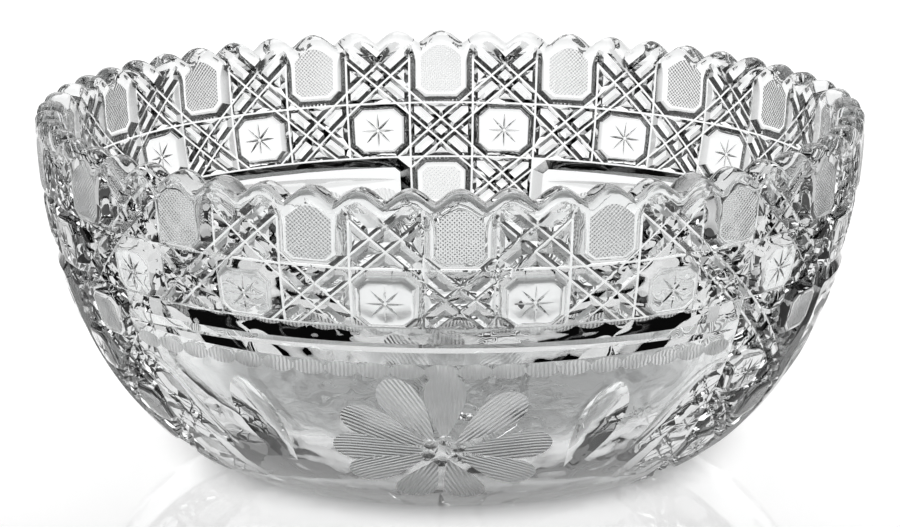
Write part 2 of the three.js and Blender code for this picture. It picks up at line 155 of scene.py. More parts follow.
@dataclass(frozen=True)
class WallForm:
    """The bowl's form before cutting, an arc of an ellipse turned round the axis.

    At a tilt t the outside has the radius centre + wide * sin t and the height rim - high * cos t.
    The inside is the same with smaller half axes, so the glass thickens towards the floor.
    """

    rim_radius: float
    height: float
    foot_radius: float = 52.0
    foot_tilt: float = 7.5
    rim_wall: float = 7.0
    floor_thickness: float = 11.0

    @property
    def high(self) -> float:
        """The ellipse's upright half axis."""
        return self.height / math.cos(math.radians(self.foot_tilt))

    @property
    def wide(self) -> float:
        """The ellipse's level half axis."""
        return (self.rim_radius - self.foot_radius) / (1 - math.sin(math.radians(self.foot_tilt)))

    @property
    def centre(self) -> float:
        """Radius of the circle that the ellipse's centre runs on."""
        return self.rim_radius - self.wide

    @property
    def inside_wide(self) -> float:
        """The inside's level half axis."""
        return self.wide - self.rim_wall

    @property
    def inside_high(self) -> float:
        """The inside's upright half axis."""
        return self.height - self.floor_thickness

    def girth(self, tilt: Array | float) -> Array:
        """Millimetres along the wall for each degree of turn."""
        return np.radians(self.centre + self.wide * np.sin(np.radians(tilt)))

    def rise(self, tilt: Array | float) -> Array:
        """Millimetres up the wall for each degree of tilt."""
        angle = np.radians(tilt)
        return np.radians(np.hypot(self.wide * np.cos(angle), self.high * np.sin(angle)))

    def scale(self, tilt: float) -> Array:
        """Millimetres for each degree of turn and for each degree of tilt."""
        return np.array([float(self.girth(tilt)), float(self.rise(tilt))])

    def tilt_under_rim(self, drop: Array | float) -> Array:
        """The tilt at which the outside lies a drop below the rim's plane."""
        return np.degrees(np.arccos(np.asarray(drop) / self.high))

    def inside_tilt_under_rim(self, drop: Array | float) -> Array:
        """The tilt at which the inside lies a drop below the rim's plane."""
        return np.degrees(np.arccos(np.asarray(drop) / self.inside_high))

    def outside(self, turn: Array, tilt: Array, depth: Array) -> Array:
        """Points of the outer wall, sunk by a depth along the ellipse's normal.

        Args:
            turn: Turns round the axis, 0 at -Y and growing towards +X.
            tilt: Tilts on the ellipse.
            depth: How far each point is cut into the glass.

        Returns:
            An array of points, one row each.
        """
        angle = np.radians(tilt)
        across, down = self.high * np.sin(angle), self.wide * np.cos(angle)
        length = np.hypot(across, down)
        radius = self.centre + self.wide * np.sin(angle) - depth * across / length
        return around(turn, radius, self.height - self.high * np.cos(angle) + depth * down / length)

    def inside(self, turn: Array, tilt: Array) -> Array:
        """Points of the smooth inside at turns and tilts."""
        angle = np.radians(tilt)
        radius = self.centre + self.inside_wide * np.sin(angle)
        return around(turn, radius, self.height - self.inside_high * np.cos(angle))


def around(turn: Array, radius: Array | float, height: Array | float) -> Array:
    """Points at turns, radii and heights, with 0 at -Y and 90 degrees at +X."""
    angle = np.radians(turn)
    shape = np.broadcast_shapes(np.shape(angle), np.shape(radius), np.shape(height))
    parts = (radius * np.sin(angle), -radius * np.cos(angle), np.broadcast_to(height, shape))
    return np.stack([np.broadcast_to(part, shape) for part in parts], axis=-1)


@dataclass
class CreaseNet:
    """A flat net of triangles whose edges follow given lines, with even points between them.

    The clearance is the share of the points' spacing that a line keeps free on either side.
    """

    points: list[Array] = field(default_factory=list)
    edges: list[Array] = field(default_factory=list)
    count: int = 0
    clearance: float = 0.55

    def add_path(self, path: Array, closed: bool = False) -> None:
        """Adds a line through points that are already close enough together.

        Args:
            path: The points, one row each.
            closed: True if the last point joins the first.
        """
        numbers = np.arange(len(path)) + self.count
        pairs = np.column_stack([numbers, np.roll(numbers, -1)])
        self.points.append(path)
        self.edges.append(pairs if closed else pairs[:-1])
        self.count += len(path)

    def add_segments(self, segments: Array, step: float, keep=None) -> None:
        """Adds straight lines, each divided into equal steps.

        Args:
            segments: Pairs of end points, of shape (lines, 2, 2).
            step: The longest step.
            keep: A test on points, and a step with an end that fails it is left out.
        """
        lengths = np.linalg.norm(segments[:, 1] - segments[:, 0], axis=1)
        steps = np.maximum(1, np.ceil(lengths / step - 1e-6)).astype(int)
        line = np.repeat(np.arange(len(segments)), steps + 1)
        first = np.cumsum(steps + 1) - (steps + 1)
        place = np.arange(len(line)) - first[line]
        share = (place / steps[line])[:, None]
        points = segments[line, 0] * (1 - share) + segments[line, 1] * share
        start = np.nonzero(place < steps[line])[0]
        pairs = np.column_stack([start, start + 1])
        if keep is not None:
            good = keep(points)
            renumbered = np.cumsum(good) - 1
            pairs = renumbered[pairs[good[pairs].all(axis=1)]]
            points = points[good]
        self.points.append(points)
        self.edges.append(pairs + self.count)
        self.count += len(points)

    def fill(self, low: Array, high: Array, spacing: float, keep) -> None:
        """Adds an even triangular grid of points wherever no line is near.

        Args:
            low: Lower corner of the area to fill.
            high: Upper corner.
            spacing: Distance between neighbouring points.
            keep: A test on points, and those that fail it are left out.
        """
        rows = np.arange(low[1], high[1], spacing * math.sqrt(0.75))
        columns = np.arange(low[0], high[0], spacing)
        x, y = np.meshgrid(columns, rows)
        x = x + (np.arange(len(rows)) % 2)[:, None] * spacing / 2
        grid = np.column_stack([x.ravel(), y.ravel()])
        taken = np.concatenate(self.points)
        cell = spacing * self.clearance
        shape = np.ceil((high - low) / cell).astype(int) + 4
        marks = np.zeros(shape, bool)
        near = ((taken - low) / cell).astype(int) + 1
        inside = ((near >= 1) & (near < shape - 1)).all(axis=1)
        near = near[inside]
        for dx in (-1, 0, 1):
            for dy in (-1, 0, 1):
                marks[near[:, 0] + dx, near[:, 1] + dy] = True
        places = np.clip(((grid - low) / cell).astype(int) + 1, 0, shape - 1)
        free = ~marks[places[:, 0], places[:, 1]] & keep(grid)
        self.points.append(grid[free])
        self.count += int(free.sum())

    def triangles(self) -> tuple[Array, Array]:
        """Joins the points into triangles that keep every line and stay inside the outer one.

        Returns:
            The points, and the three point numbers of each triangle.
        """
        inside_only, merge_gap = 1, 1e-5
        points = list(map(Vector, np.concatenate(self.points).tolist()))
        edges = np.concatenate(self.edges).tolist()
        made, _, faces, *_ = delaunay_2d_cdt(points, edges, [], inside_only, merge_gap)
        return np.array(made, float), np.array(faces, int)


@dataclass(frozen=True)
class CaneCuts:
    """The cane pattern: octagonal buttons and crossed cells that alternate like a chequerboard.

    A cell's own frame has its middle at 0, and lengths in it are shares of the cell's side. Depths,
    rises and the sizes of the stars are millimetres.
    """

    mitre_depth: float = 2.5
    flat: float = 0.016
    corner_cut: float = 0.21
    bevel: float = 0.17
    bevel_power: float = 2.0
    bevel_steps: int = 6
    crossed_edge: float = 0.076
    crossed_steep: float = 1.55
    crossed_rise: float = 2.0
    hatch_margin: float = 0.02
    star_reach: float = 4.7
    star_half_width: float = 0.33
    star_depth: float = 0.26
    star_rays: int = 8
    star_steps: int = 6
    star_bend: float = 0.6
    star_crowding: float = 1.3
    rim_reach: float = 0.7

    @property
    def ridge(self) -> float:
        """How far a crossed cell's ridges lie from the cuts beside them."""
        return self.corner_cut / ROOT2

    def crossed_depth(self, u: Array, v: Array, top_row: Array) -> Array:
        """Depth in a crossed cell: steep beside the nearest cut's flat floor, then gentle to a ridge.

        The cuts are the cell's sides and four diagonals, u + v and u - v at plus and minus the
        corner cut. No cut runs along the rim.

        Args:
            u: Places across the cell.
            v: Places up the cell.
            top_row: True for points in the row under the rim.

        Returns:
            The depth at each point.
        """
        a, b = np.abs(u), np.abs(v)
        sides = np.where(top_row & (v > 0), 0.5 - a, np.minimum(0.5 - a, 0.5 - b))
        off_pair = np.abs(np.abs(a - b) - self.corner_cut)
        off_middle = np.abs(a + b - self.corner_cut)
        nearest = np.minimum(sides, np.minimum(off_pair, off_middle) / ROOT2)
        steep = np.clip((nearest - self.flat) / (self.crossed_edge - self.flat), 0, 1)
        gentle = np.clip((nearest - self.crossed_edge) / (self.ridge - self.crossed_edge), 0, 1)
        rise = self.crossed_steep * steep + (self.crossed_rise - self.crossed_steep) * gentle
        return self.mitre_depth - rise

    def button_rise(self, u: Array, v: Array, top_row: Array) -> Array:
        """Distance into a button from its nearest side or corner cut. It is open at the rim."""
        a, b = np.abs(u), np.abs(v)
        open_top = top_row & (v > 0)
        sides = 0.5 - np.where(open_top, a, np.maximum(a, b))
        corners = np.where(open_top, 1.0, np.abs(1 - self.corner_cut - a - b) / ROOT2)
        return np.minimum(sides, corners)

    def button_depth(self, u: Array, v: Array, top_row: Array) -> Array:
        """Depth of a button's bevel, which curves from a cut's flat floor into the button's land."""
        rise = self.button_rise(u, v, top_row)
        left = np.clip((self.bevel - rise) / (self.bevel - self.flat), 0, 1)
        return self.mitre_depth * left**self.bevel_power

    def ray_width(self, share: Array) -> Array:
        """Half width of a star's ray at a share of its length: slim ends, widest at a third."""
        bent = np.clip(share, 0, 1) ** self.star_bend
        return self.star_half_width * 4 * bent * (1 - bent)

    def star_depth_at(self, x: Array, y: Array) -> Array:
        """Depth of a star's V-shaped rays x and y millimetres from a button's middle."""
        radius = np.hypot(x, y)
        angle = np.arctan2(y, x)
        pitch = 2 * np.pi / self.star_rays
        off = angle - np.round(angle / pitch) * pitch
        width = self.ray_width(radius * np.cos(off) / self.star_reach)
        across = np.abs(radius * np.sin(off))
        fullness = np.maximum(width - across, 0) / self.star_half_width
        return self.star_depth * fullness

    def twin(self, cuts: list) -> list:
        """The two edges of the flat floor of each straight cut."""
        twins = []
        for start, end in np.array(cuts, float):
            run = (end - start) / np.linalg.norm(end - start)
            side = np.array([-run[1], run[0]]) * self.flat
            twins += [[start + side, end + side], [start - side, end - side]]
        return twins

    def crossed_edges(self, top_row: bool) -> Array:
        """Lines where a crossed cell's steep faces end, as segments in the cell's frame."""
        c, e, inner = self.corner_cut, self.crossed_edge, 0.5 - self.flat
        start, end = np.array([0.5, 0.5 - c]), np.array([c - 0.5, -0.5])
        run, side = np.array([-1, -1]) / ROOT2, np.array([1, -1]) / ROOT2
        lines = [[(0.5 - e, -inner), (0.5 - e, inner)]]
        for shift in (-e, e):
            trim = run * (self.flat * ROOT2 + shift)
            lines.append([start + side * shift + trim, end + side * shift - trim])
        lines = all_quarters(np.array(lines, float))
        if not top_row:
            return lines
        near_top = 0.4
        lines = lines[~(lines[:, :, 1] > near_top).all(axis=1)]
        runs = lines - lines[:, ::-1]
        runs /= np.linalg.norm(runs, axis=2, keepdims=True)
        return lines + np.where(lines[:, :, 1:] > near_top, runs * (self.rim_reach - near_top), 0)

    def crossed_lines(self, top_row: bool) -> Array:
        """Floors of cuts, and ridges, of a crossed cell, as segments in the cell's frame."""
        c, r = self.corner_cut, self.ridge
        hip = (0.5 - c) * (ROOT2 - 1)
        peak = (0.5 - hip, 0.0)
        outer, inner = (0.5 - r, 0.5 - r), (c, c)
        middle = [[(c, 0), inner], [(0, c), inner], [(0, 0), (c, 0)], [inner, outer]]
        side = [[(0.5, 0.5 - c), peak], [(0.5, c - 0.5), peak], [(c, 0), peak]]
        corner = [[outer, (0.5, 0.5)], [outer, (0.5 - c, 0.5)], [outer, (0.5, 0.5 - c)]]
        cut = [[(0.5, 0.5 - c), (c - 0.5, -0.5)]]
        if not top_row:
            ridges = all_quarters(np.array(middle + side + corner, float))
            return np.concatenate([ridges, all_quarters(np.array(self.twin(cut), float))])
        top = self.rim_reach
        cut = [[(top, top - c), (c - 0.5, -0.5)], [(top - c, top), (-0.5, c - 0.5)]]
        rising = np.array(self.twin(cut), float)
        kept = np.array(corner[2:] + [[outer, (top - r, top)], [(0, 2 * c), (top - 2 * c, top)]], float)
        return np.concatenate(
            [
                all_quarters(np.array(middle, float)),
                all_quarters(np.array(side, float), (0, 2, 3)),
                all_quarters(np.array(corner, float), (2, 3)),
                *(half * np.array([sign, 1]) for half in (rising, kept) for sign in (-1, 1)),
            ]
        )

    def octagon(self, inset: float, top_row: bool) -> Array:
        """Segments of a button's outline a distance inside its cuts. In the top row it is open."""
        reach = 0.5 - inset
        side = 0.5 - self.corner_cut - inset * (ROOT2 - 1)
        quarter = np.array([[(reach, -side), (reach, side)], [(reach, side), (side, reach)]], float)
        if not top_row:
            return all_quarters(quarter)
        walls = np.array([[(reach, -side), (reach, self.rim_reach)]])
        foot = np.concatenate([turned(quarter[:1], 3), turned(quarter[1:], 2), turned(quarter[1:], 3)])
        return np.concatenate([walls, walls * np.array([-1, 1]), foot])

    def button_lines(self, top_row: bool) -> Array:
        """Corner cuts, bevel corners and land of a button, as segments in the cell's frame."""
        c = self.corner_cut
        reach = 0.5 - self.bevel
        side = 0.5 - c - self.bevel * (ROOT2 - 1)
        peak_in = 0.5 - c * (1 - math.sqrt(0.5))
        peak = (peak_in, peak_in)
        high, top = (0.5, 0.5 - c), (0.5 - c, 0.5)
        corner = [*self.twin([[high, top]]), [high, peak], [top, peak], [(0.5, 0.5), peak]]
        bevels = [[high, (reach, side)], [top, (side, reach)]]
        quarters = (2, 3) if top_row else (0, 1, 2, 3)
        corners = all_quarters(np.array(corner + bevels, float), quarters)
        insets = np.linspace(self.flat, self.bevel, self.bevel_steps + 1)[1:]
        return np.concatenate([corners, *(self.octagon(inset, top_row) for inset in insets)])

    def star_paths(self) -> list[Array]:
        """Outline and floor of each of a star's rays, in millimetres from the button's middle."""
        share = np.linspace(0, 1, self.star_steps + 1)[1:] ** self.star_crowding
        along, width = share * self.star_reach, self.ray_width(share)
        lines = [np.column_stack([along, sign * width]) for sign in (-1, 0, 1)]
        turns = np.arange(self.star_rays) * 2 * np.pi / self.star_rays
        spins = [np.array([[math.cos(t), math.sin(t)], [-math.sin(t), math.cos(t)]]) for t in turns]
        return [line @ spin for spin in spins for line in lines]


@dataclass(frozen=True)
class HollowCut:
    """A hollow ground by the round edge of a wheel: wide and rounded at its head, fine at its tip.

    Across, it is a parabola. Its half width along the share p from the head is that of
    sin(pi * p ** fullness), and its depth is in proportion.
    """

    head: tuple[float, float]
    tip: tuple[float, float]
    width: float
    depth: float
    fullness: float = 0.62

    def frame(self, form: WallForm) -> tuple[Array, Array, Array]:
        """Millimetres for each degree at the hollow's middle, its head, and the way to its tip."""
        scale = form.scale((self.head[1] + self.tip[1]) / 2)
        head, tip = np.array(self.head) * scale, np.array(self.tip) * scale
        return scale, head, tip - head

    def local(self, points: Array, form: WallForm) -> tuple[Array, Array]:
        """Share of the way from head to tip, and millimetres to the side, of points on the wall."""
        scale, head, run = self.frame(form)
        length = np.linalg.norm(run)
        along = run / length
        offset = points * scale - head
        return offset @ along / length, offset @ np.array([-along[1], along[0]])

    def half_width(self, share: Array) -> Array:
        """Half width at a share of the way from head to tip."""
        return self.width / 2 * np.sin(np.pi * np.clip(share, 0, 1) ** self.fullness)

    def depth_at(self, points: Array, form: WallForm) -> Array:
        """Depth of the hollow at points on the wall, 0 outside it."""
        share, side = self.local(points, form)
        width = np.maximum(self.half_width(share), 1e-9)
        return self.depth * width / (self.width / 2) * np.maximum(1 - (side / width) ** 2, 0)

    def outline(self, form: WallForm, steps: int) -> Array:
        """The hollow's closed outline as points of turn and tilt."""
        scale, head, run = self.frame(form)
        along = run / np.linalg.norm(run)
        share = (1 - np.cos(np.linspace(0, np.pi, steps + 1))) / 2
        aside = self.half_width(share)[:, None] * np.array([-along[1], along[0]])
        left, right = (head + share[:, None] * run + sign * aside for sign in (1, -1))
        return np.concatenate([left, right[-2:0:-1]]) / scale


@dataclass(frozen=True)
class Flower:
    """An engraved flower: matte petals of fine lines round a cluster of small polished dots."""

    turn: float = 2.5
    tilt: float = 42.0
    petal_angles: tuple[float, ...] = (88, 44, 4, -28, -72, -114, -155, -181, -208, -240)
    petal_reaches: tuple[float, ...] = (23.0, 24.0, 25.5, 26.0, 24.5, 24.5, 26.0, 26.0, 25.0, 24.0)
    petal_start: float = 3.2
    petal_width: float = 9.6
    petal_depth: float = 0.45
    petal_fullness: float = 0.55
    dot_radius: float = 1.75
    dot_ring: float = 3.7
    dots_round: int = 6
    first_dot: float = 20.0
    dot_depth: float = 0.6

    def place(self, angle: float, reach: float, form: WallForm) -> tuple[float, float]:
        """Turn and tilt of a place at an angle and a distance from the flower's middle."""
        x, y = reach * math.cos(math.radians(angle)), reach * math.sin(math.radians(angle))
        across, up = form.scale(self.tilt)
        return self.turn + x / float(across), self.tilt + y / float(up)

    def petal_cuts(self, form: WallForm) -> list[HollowCut]:
        """The petals, each with its rounded head outwards."""
        return [
            HollowCut(
                self.place(angle, reach, form),
                self.place(angle, self.petal_start, form),
                self.petal_width,
                self.petal_depth,
                self.petal_fullness,
            )
            for angle, reach in zip(self.petal_angles, self.petal_reaches)
        ]

    def dot_centres(self, form: WallForm) -> Array:
        """Middles of the polished dots, one in the middle and a ring round it."""
        angles = np.arange(self.dots_round) * FULL_TURN / self.dots_round + self.first_dot
        ring = [self.place(angle, self.dot_ring, form) for angle in angles]
        return np.array([(self.turn, self.tilt), *ring])


@dataclass(frozen=True)
class PanelCuts:
    """One of the three plain panels: a long cut along its top, a fringe, leaves and a flower."""

    top_bevel: float = 2.8
    strip: float = 1.0
    cut_width: float = 4.7
    cut_depth: float = 1.5
    cut_taper: float = 0.7
    end_gap: float = 2.5
    fringe_count: int = 20
    fringe_pitch: float = 4.75
    fringe_drop: float = 10.5
    fringe_half_width: float = 4.0
    fringe_half_height: float = 2.1
    fringe_depth: float = 0.3
    flower: Flower = Flower()
    leaf_heads: tuple[tuple[float, float], ...] = ((29.0, 56.5), (47.5, 57.5))
    leaf_tips: tuple[tuple[float, float], ...] = ((24.0, 31.5), (34.0, 34.5))
    leaf_width: float = 11.2
    leaf_depth: float = 1.7

    def leaves(self) -> list[HollowCut]:
        """Two leaf-shaped hollows on each side of the panel's middle."""
        return [
            HollowCut((side * head[0], head[1]), (side * tip[0], tip[1]), self.leaf_width, self.leaf_depth)
            for side in (-1, 1)
            for head, tip in zip(self.leaf_heads, self.leaf_tips)
        ]

    @property
    def cut_drop(self) -> float:
        """Distance of the long cut's floor below the panel's top."""
        return self.top_bevel + self.strip + self.cut_width / 2

    def cut_fullness(self, turn: Array, half_panel: float) -> Array:
        """Share of the long cut's width and depth at a turn: it runs out to points at its ends."""
        reach = half_panel - self.end_gap
        return np.maximum(1 - (turn / reach) ** 2, 0) ** self.cut_taper

    def fringe_turns(self) -> Array:
        """Turns of the fringe's middles, evenly across the panel."""
        return (np.arange(self.fringe_count) - (self.fringe_count - 1) / 2) * self.fringe_pitch


@dataclass(frozen=True)
class Scallops:
    """The scalloped rim: round crests with narrow notches between, and a rounded edge."""

    count: int = 54
    depth: float = 3.1
    first_crest: float = 5.0
    notch_round: float = 0.13
    steps: int = 12
    edge_drop: float = 2.5
    edge_power: float = 2.3
    edge_rows: int = 12

    @property
    def samples(self) -> int:
        """Points round the whole rim."""
        return self.count * self.steps

    def edge(self, turn: Array) -> Array:
        """How far the walls end, and the rounded edge begins, below the rim's plane."""
        return self.drop(turn) + self.edge_drop

    def drop(self, turn: Array) -> Array:
        """How far the crest lies below the rim's plane: an arch |cos| over each scallop.

        The root of cos squared plus a small share squared takes the place of |cos|, which rounds
        the notches.
        """
        wave = np.cos(np.radians(turn - self.first_crest) * self.count / 2)
        arch = np.hypot(wave, self.notch_round) - self.notch_round
        return self.depth * (1 - arch / (math.hypot(1, self.notch_round) - self.notch_round))


@dataclass
class CutGlassBowl:
    """The whole bowl, one piece of glass with every cut in its wall."""

    form: WallForm
    cane: CaneCuts = CaneCuts()
    panel: PanelCuts = PanelCuts()
    scallops: Scallops = Scallops()
    columns: int = 36
    thirds: int = 3
    panel_columns: int = 10
    rows: int = 8
    ring_rows: int = 2
    rim_band: float = 2.9
    foot_band: float = 0.6
    run_out_gap: float = 0.2
    run_out: float = 2.6
    hatch_gap: float = 1.1
    line_pitch: float = 1.0
    hatch_pitch: float = 0.75
    free_top: float = 0.15
    line_step: float = 1.0
    foot_step: float = 1.6
    cut_steps: int = 119
    leaf_steps: int = 30
    petal_steps: int = 24
    oval_steps: int = 28
    hatch_steps: int = 14
    fill_margin: float = 0.4
    cell_fill: float = 1.7
    panel_fill: float = 1.0
    inside_rows: int = 16
    floor_fill: float = 5.0
    rays: int = 24
    ray_start: float = 7.0
    foot_ring: float = 8.0
    ray_widest: float = 0.27
    ray_spread: float = 0.75
    ray_depth: float = 1.2

    @property
    def column(self) -> float:
        """Turn of one column of the pattern."""
        return FULL_TURN / self.columns

    @property
    def third(self) -> float:
        """Turn of one panel with the strip beside it."""
        return FULL_TURN / self.thirds

    @property
    def half_panel(self) -> float:
        """Turn from a panel's middle to its side."""
        return self.panel_columns * self.column / 2

    @property
    def left(self) -> float:
        """Turn of a third's left side, which is its panel's."""
        return -self.half_panel

    @property
    def right(self) -> float:
        """Turn of a third's right side."""
        return self.left + self.third

    @property
    def rows_top(self) -> float:
        """Tilt of the top row's upper side."""
        return RIM_TILT - self.rim_band

    @property
    def rows_foot(self) -> float:
        """Tilt of the lowest row's lower side."""
        return self.form.foot_tilt + self.foot_band

    @property
    def row_tilt(self) -> float:
        """Tilt of one row of cells."""
        return (self.rows_top - self.rows_foot) / self.rows

    @property
    def panel_top(self) -> float:
        """Tilt of the line under the ring rows."""
        return self.rows_top - self.ring_rows * self.row_tilt

    @property
    def panel_rise(self) -> float:
        """Millimetres up the wall for each degree of tilt at a panel's top."""
        return float(self.form.rise(self.panel_top))

    @property
    def top_bevel(self) -> float:
        """Height of the bevel along a panel's top, as a share of a row."""
        return self.panel.top_bevel / self.panel_rise / self.row_tilt

    @property
    def row_lines(self) -> Array:
        """Tilts of the lines under the rows."""
        return self.rows_top - np.arange(1, self.rows + 1) * self.row_tilt

    @property
    def column_lines(self) -> Array:
        """Turns of the lines between a third's columns."""
        return self.left + np.arange(self.columns // self.thirds + 1) * self.column

    @property
    def crossings(self) -> Array:
        """Where floors of cuts and corner cuts meet a cell's side, as shares of it."""
        c, flat = self.cane.corner_cut, self.cane.flat
        slant = flat * ROOT2
        return np.array([0, flat, c - slant, c, c + slant, 1 - c - slant, 1 - c, 1 - c + slant, 1 - flat])

    @cached_property
    def turn_marks(self) -> Array:
        """Turns at which a level line meets other cuts."""
        marks = (self.column_lines[:, None] + self.crossings * self.column).ravel()
        return marks[marks <= self.right + ON_LINE]

    @cached_property
    def tilt_marks(self) -> Array:
        """Tilts at which an upright line meets other cuts, from the foot to the run-out."""
        marks = (self.row_lines[:, None] + self.crossings * self.row_tilt).ravel()
        marks = marks[marks < self.rows_top - self.free_top * self.row_tilt]
        above_foot = self.rows_foot - self.cane.flat * self.row_tilt
        return np.concatenate([[self.form.foot_tilt, above_foot], marks])

    @cached_property
    def rim_turns(self) -> Array:
        """Turns of the points round the whole rim."""
        return np.arange(self.scallops.samples) * FULL_TURN / self.scallops.samples + self.left

    @cached_property
    def petal_cuts(self) -> list[HollowCut]:
        """The flower's petals."""
        return self.panel.flower.petal_cuts(self.form)

    def rim_edge(self, turn: Array) -> Array:
        """Tilt at which the outer wall ends and the rim's rounded edge begins."""
        return self.form.tilt_under_rim(self.scallops.edge(turn))

    def panel_tilt(self, drop: Array | float) -> Array:
        """Tilt of a line a drop down the wall from a panel's top."""
        return self.panel_top - np.asarray(drop) / self.panel_rise

    def cell_place(self, points: Array) -> tuple[Array, Array, Array, Array]:
        """Row and column of points on the wall, and their place in the cell's own frame."""
        across = points[:, 0] / self.column
        down = (self.rows_top - points[:, 1]) / self.row_tilt
        column, row = np.floor(across), np.clip(np.floor(down), 0, self.rows - 1)
        return row.astype(int), column.astype(int), across - column - 0.5, row + 0.5 - down

    def cell_size(self, row: Array | int) -> Array:
        """Width and height of the cells of a row, in millimetres."""
        tilt = self.rows_top - (np.asarray(row) + 0.5) * self.row_tilt
        sides = self.column * self.form.girth(tilt), self.row_tilt * self.form.rise(tilt)
        return np.stack(sides, axis=-1)

    def cell_depth(self, points: Array) -> Array:
        """Depth of the cane pattern, whose cuts run out smoothly under the rim and above the foot."""
        row, column, u, v = self.cell_place(points)
        top_row = row == 0
        button = (row + column) % 2 == 0
        depth = np.where(
            button, self.cane.button_depth(u, v, top_row), self.cane.crossed_depth(u, v, top_row)
        )
        x, y = (np.column_stack([u, v]) * self.cell_size(row)).T
        depth += np.where(button & (row % 2 == 1), self.cane.star_depth_at(x, y), 0)
        under_rim = (self.rim_edge(points[:, 0]) - points[:, 1] - self.run_out_gap) / self.run_out
        under_rim = np.clip(under_rim, 0, 1)
        depth *= under_rim**2 * (3 - 2 * under_rim)
        above_foot = (points[:, 1] - self.form.foot_tilt) / self.foot_band
        at_foot = self.cane.mitre_depth * np.maximum(above_foot, 0)
        return np.where(points[:, 1] < self.rows_foot, at_foot, depth)

    def border_rise(self, points: Array) -> Array:
        """Distance into a panel from its nearest side, top or corner cut, as a share of its bevel."""
        cane = self.cane
        from_side = (self.half_panel - np.abs(points[:, 0])) / self.column
        from_top = (self.panel_top - points[:, 1]) / self.row_tilt
        corner = np.abs(from_side + from_top - cane.corner_cut) / ROOT2
        rise = (np.minimum(from_side, corner) - cane.flat) / (cane.bevel - cane.flat)
        return np.minimum(rise, (from_top - cane.flat) / (self.top_bevel - cane.flat))

    def border_depth(self, points: Array) -> Array:
        """Depth of the bevels round a panel and of its long V-shaped cut."""
        panel = self.panel
        drop = (self.panel_top - points[:, 1]) * self.panel_rise
        foot = np.clip((points[:, 1] - self.form.foot_tilt) / self.foot_band, 0, 1)
        bevel = self.cane.mitre_depth * foot * np.clip(1 - self.border_rise(points), 0, 1)
        aside = np.abs(drop - panel.cut_drop) / (panel.cut_width / 2)
        cut = panel.cut_depth * np.maximum(panel.cut_fullness(points[:, 0], self.half_panel) - aside, 0)
        return np.maximum(bevel, cut)

    def fringe_fullness(self, points: Array) -> Array:
        """1 in the middle of a fringe oval, falling to 0 at its edge."""
        panel = self.panel
        tilt = float(self.panel_tilt(panel.fringe_drop))
        number = np.round(points[:, 0] / panel.fringe_pitch - 0.5) + 0.5
        last = (panel.fringe_count - 1) / 2
        middle = np.clip(number, -last, last) * panel.fringe_pitch
        wide, tall = self.form.scale(tilt)
        across = (points[:, 0] - middle) * wide / panel.fringe_half_width
        up = (points[:, 1] - tilt) * tall / panel.fringe_half_height
        return np.maximum(1 - across**2 - up**2, 0)

    def dot_fullness(self, points: Array) -> Array:
        """1 in the middle of one of the flower's dots, falling to 0 at its edge."""
        flower = self.panel.flower
        centres = flower.dot_centres(self.form)
        gaps = (points[:, None, :] - centres[None]) * self.form.scale(flower.tilt)
        return np.maximum(1 - (gaps**2).sum(axis=2).min(axis=1) / flower.dot_radius**2, 0)

    def panel_depth(self, points: Array) -> Array:
        """Depth of a panel's cuts: bevels, long cut and fringe, or the deepest of its hollows."""
        flower = self.panel.flower
        hollows = [cut.depth_at(points, self.form) for cut in (*self.panel.leaves(), *self.petal_cuts)]
        hollows.append(flower.dot_depth * self.dot_fullness(points))
        fringe = self.panel.fringe_depth * self.fringe_fullness(points)
        return np.maximum(self.border_depth(points) + fringe, np.max(hollows, axis=0))

    def in_panel(self, points: Array) -> Array:
        """True for points in the panel of this third."""
        return (points[:, 1] < self.panel_top) & (np.abs(points[:, 0]) < self.half_panel)

    def depth(self, points: Array) -> Array:
        """Depth of the cuts at points on the wall of one third."""
        return np.where(self.in_panel(points), self.panel_depth(points), self.cell_depth(points))

    def finish_at(self, points: Array) -> Array:
        """The finish of the glass at points on the wall of one third."""
        row, column, u, v = self.cell_place(points)
        land = self.cane.button_rise(u, v, row == 0) > self.cane.bevel + self.cane.hatch_margin
        hatched = land & ((row + column) % 2 == 0) & (row % 2 == 0) & ~self.in_panel(points)
        hatched &= points[:, 1] < self.rim_edge(points[:, 0]) - self.hatch_gap
        petals = np.max([cut.depth_at(points, self.form) for cut in self.petal_cuts], axis=0) > 0
        lined = self.in_panel(points) & (petals | (self.fringe_fullness(points) > 0))
        lined &= self.dot_fullness(points) <= 0
        return np.select([hatched, lined], [Finish.HATCHED, Finish.LINED], Finish.POLISHED)

    def line_coordinates(self, corners: Array, middles: Array, finish: Array) -> Array:
        """Places across and along the engraved lines at each triangle's corners, counted in lines.

        On a petal they run along it, in the fringe straight up, and on a button both ways at 45
        degrees.

        Args:
            corners: Turn and tilt of each triangle's corners, of shape (triangles, 3, 2).
            middles: Turn and tilt of each triangle's middle.
            finish: The finish of each triangle.

        Returns:
            The two coordinates at each corner, of shape (triangles, 3, 2).
        """
        scale = np.column_stack([self.form.girth(middles[:, 1]), self.form.rise(middles[:, 1])])
        flat = corners * scale[:, None, :]
        slanted = np.stack([flat[..., 0] + flat[..., 1], flat[..., 0] - flat[..., 1]], axis=-1)
        result = np.where((finish == Finish.HATCHED)[:, None, None], slanted / ROOT2, flat)
        depths = np.array([cut.depth_at(middles, self.form) for cut in self.petal_cuts])
        deepest = depths.argmax(axis=0)
        for number, cut in enumerate(self.petal_cuts):
            mine = (depths.max(axis=0) > 0) & (deepest == number) & (finish == Finish.LINED)
            share, side = cut.local(corners[mine].reshape(-1, 2), self.form)
            result[mine] = np.column_stack([side, share]).reshape(-1, 3, 2)
        pitch = np.where(finish == Finish.HATCHED, self.hatch_pitch, self.line_pitch)
        return result / pitch[:, None, None]

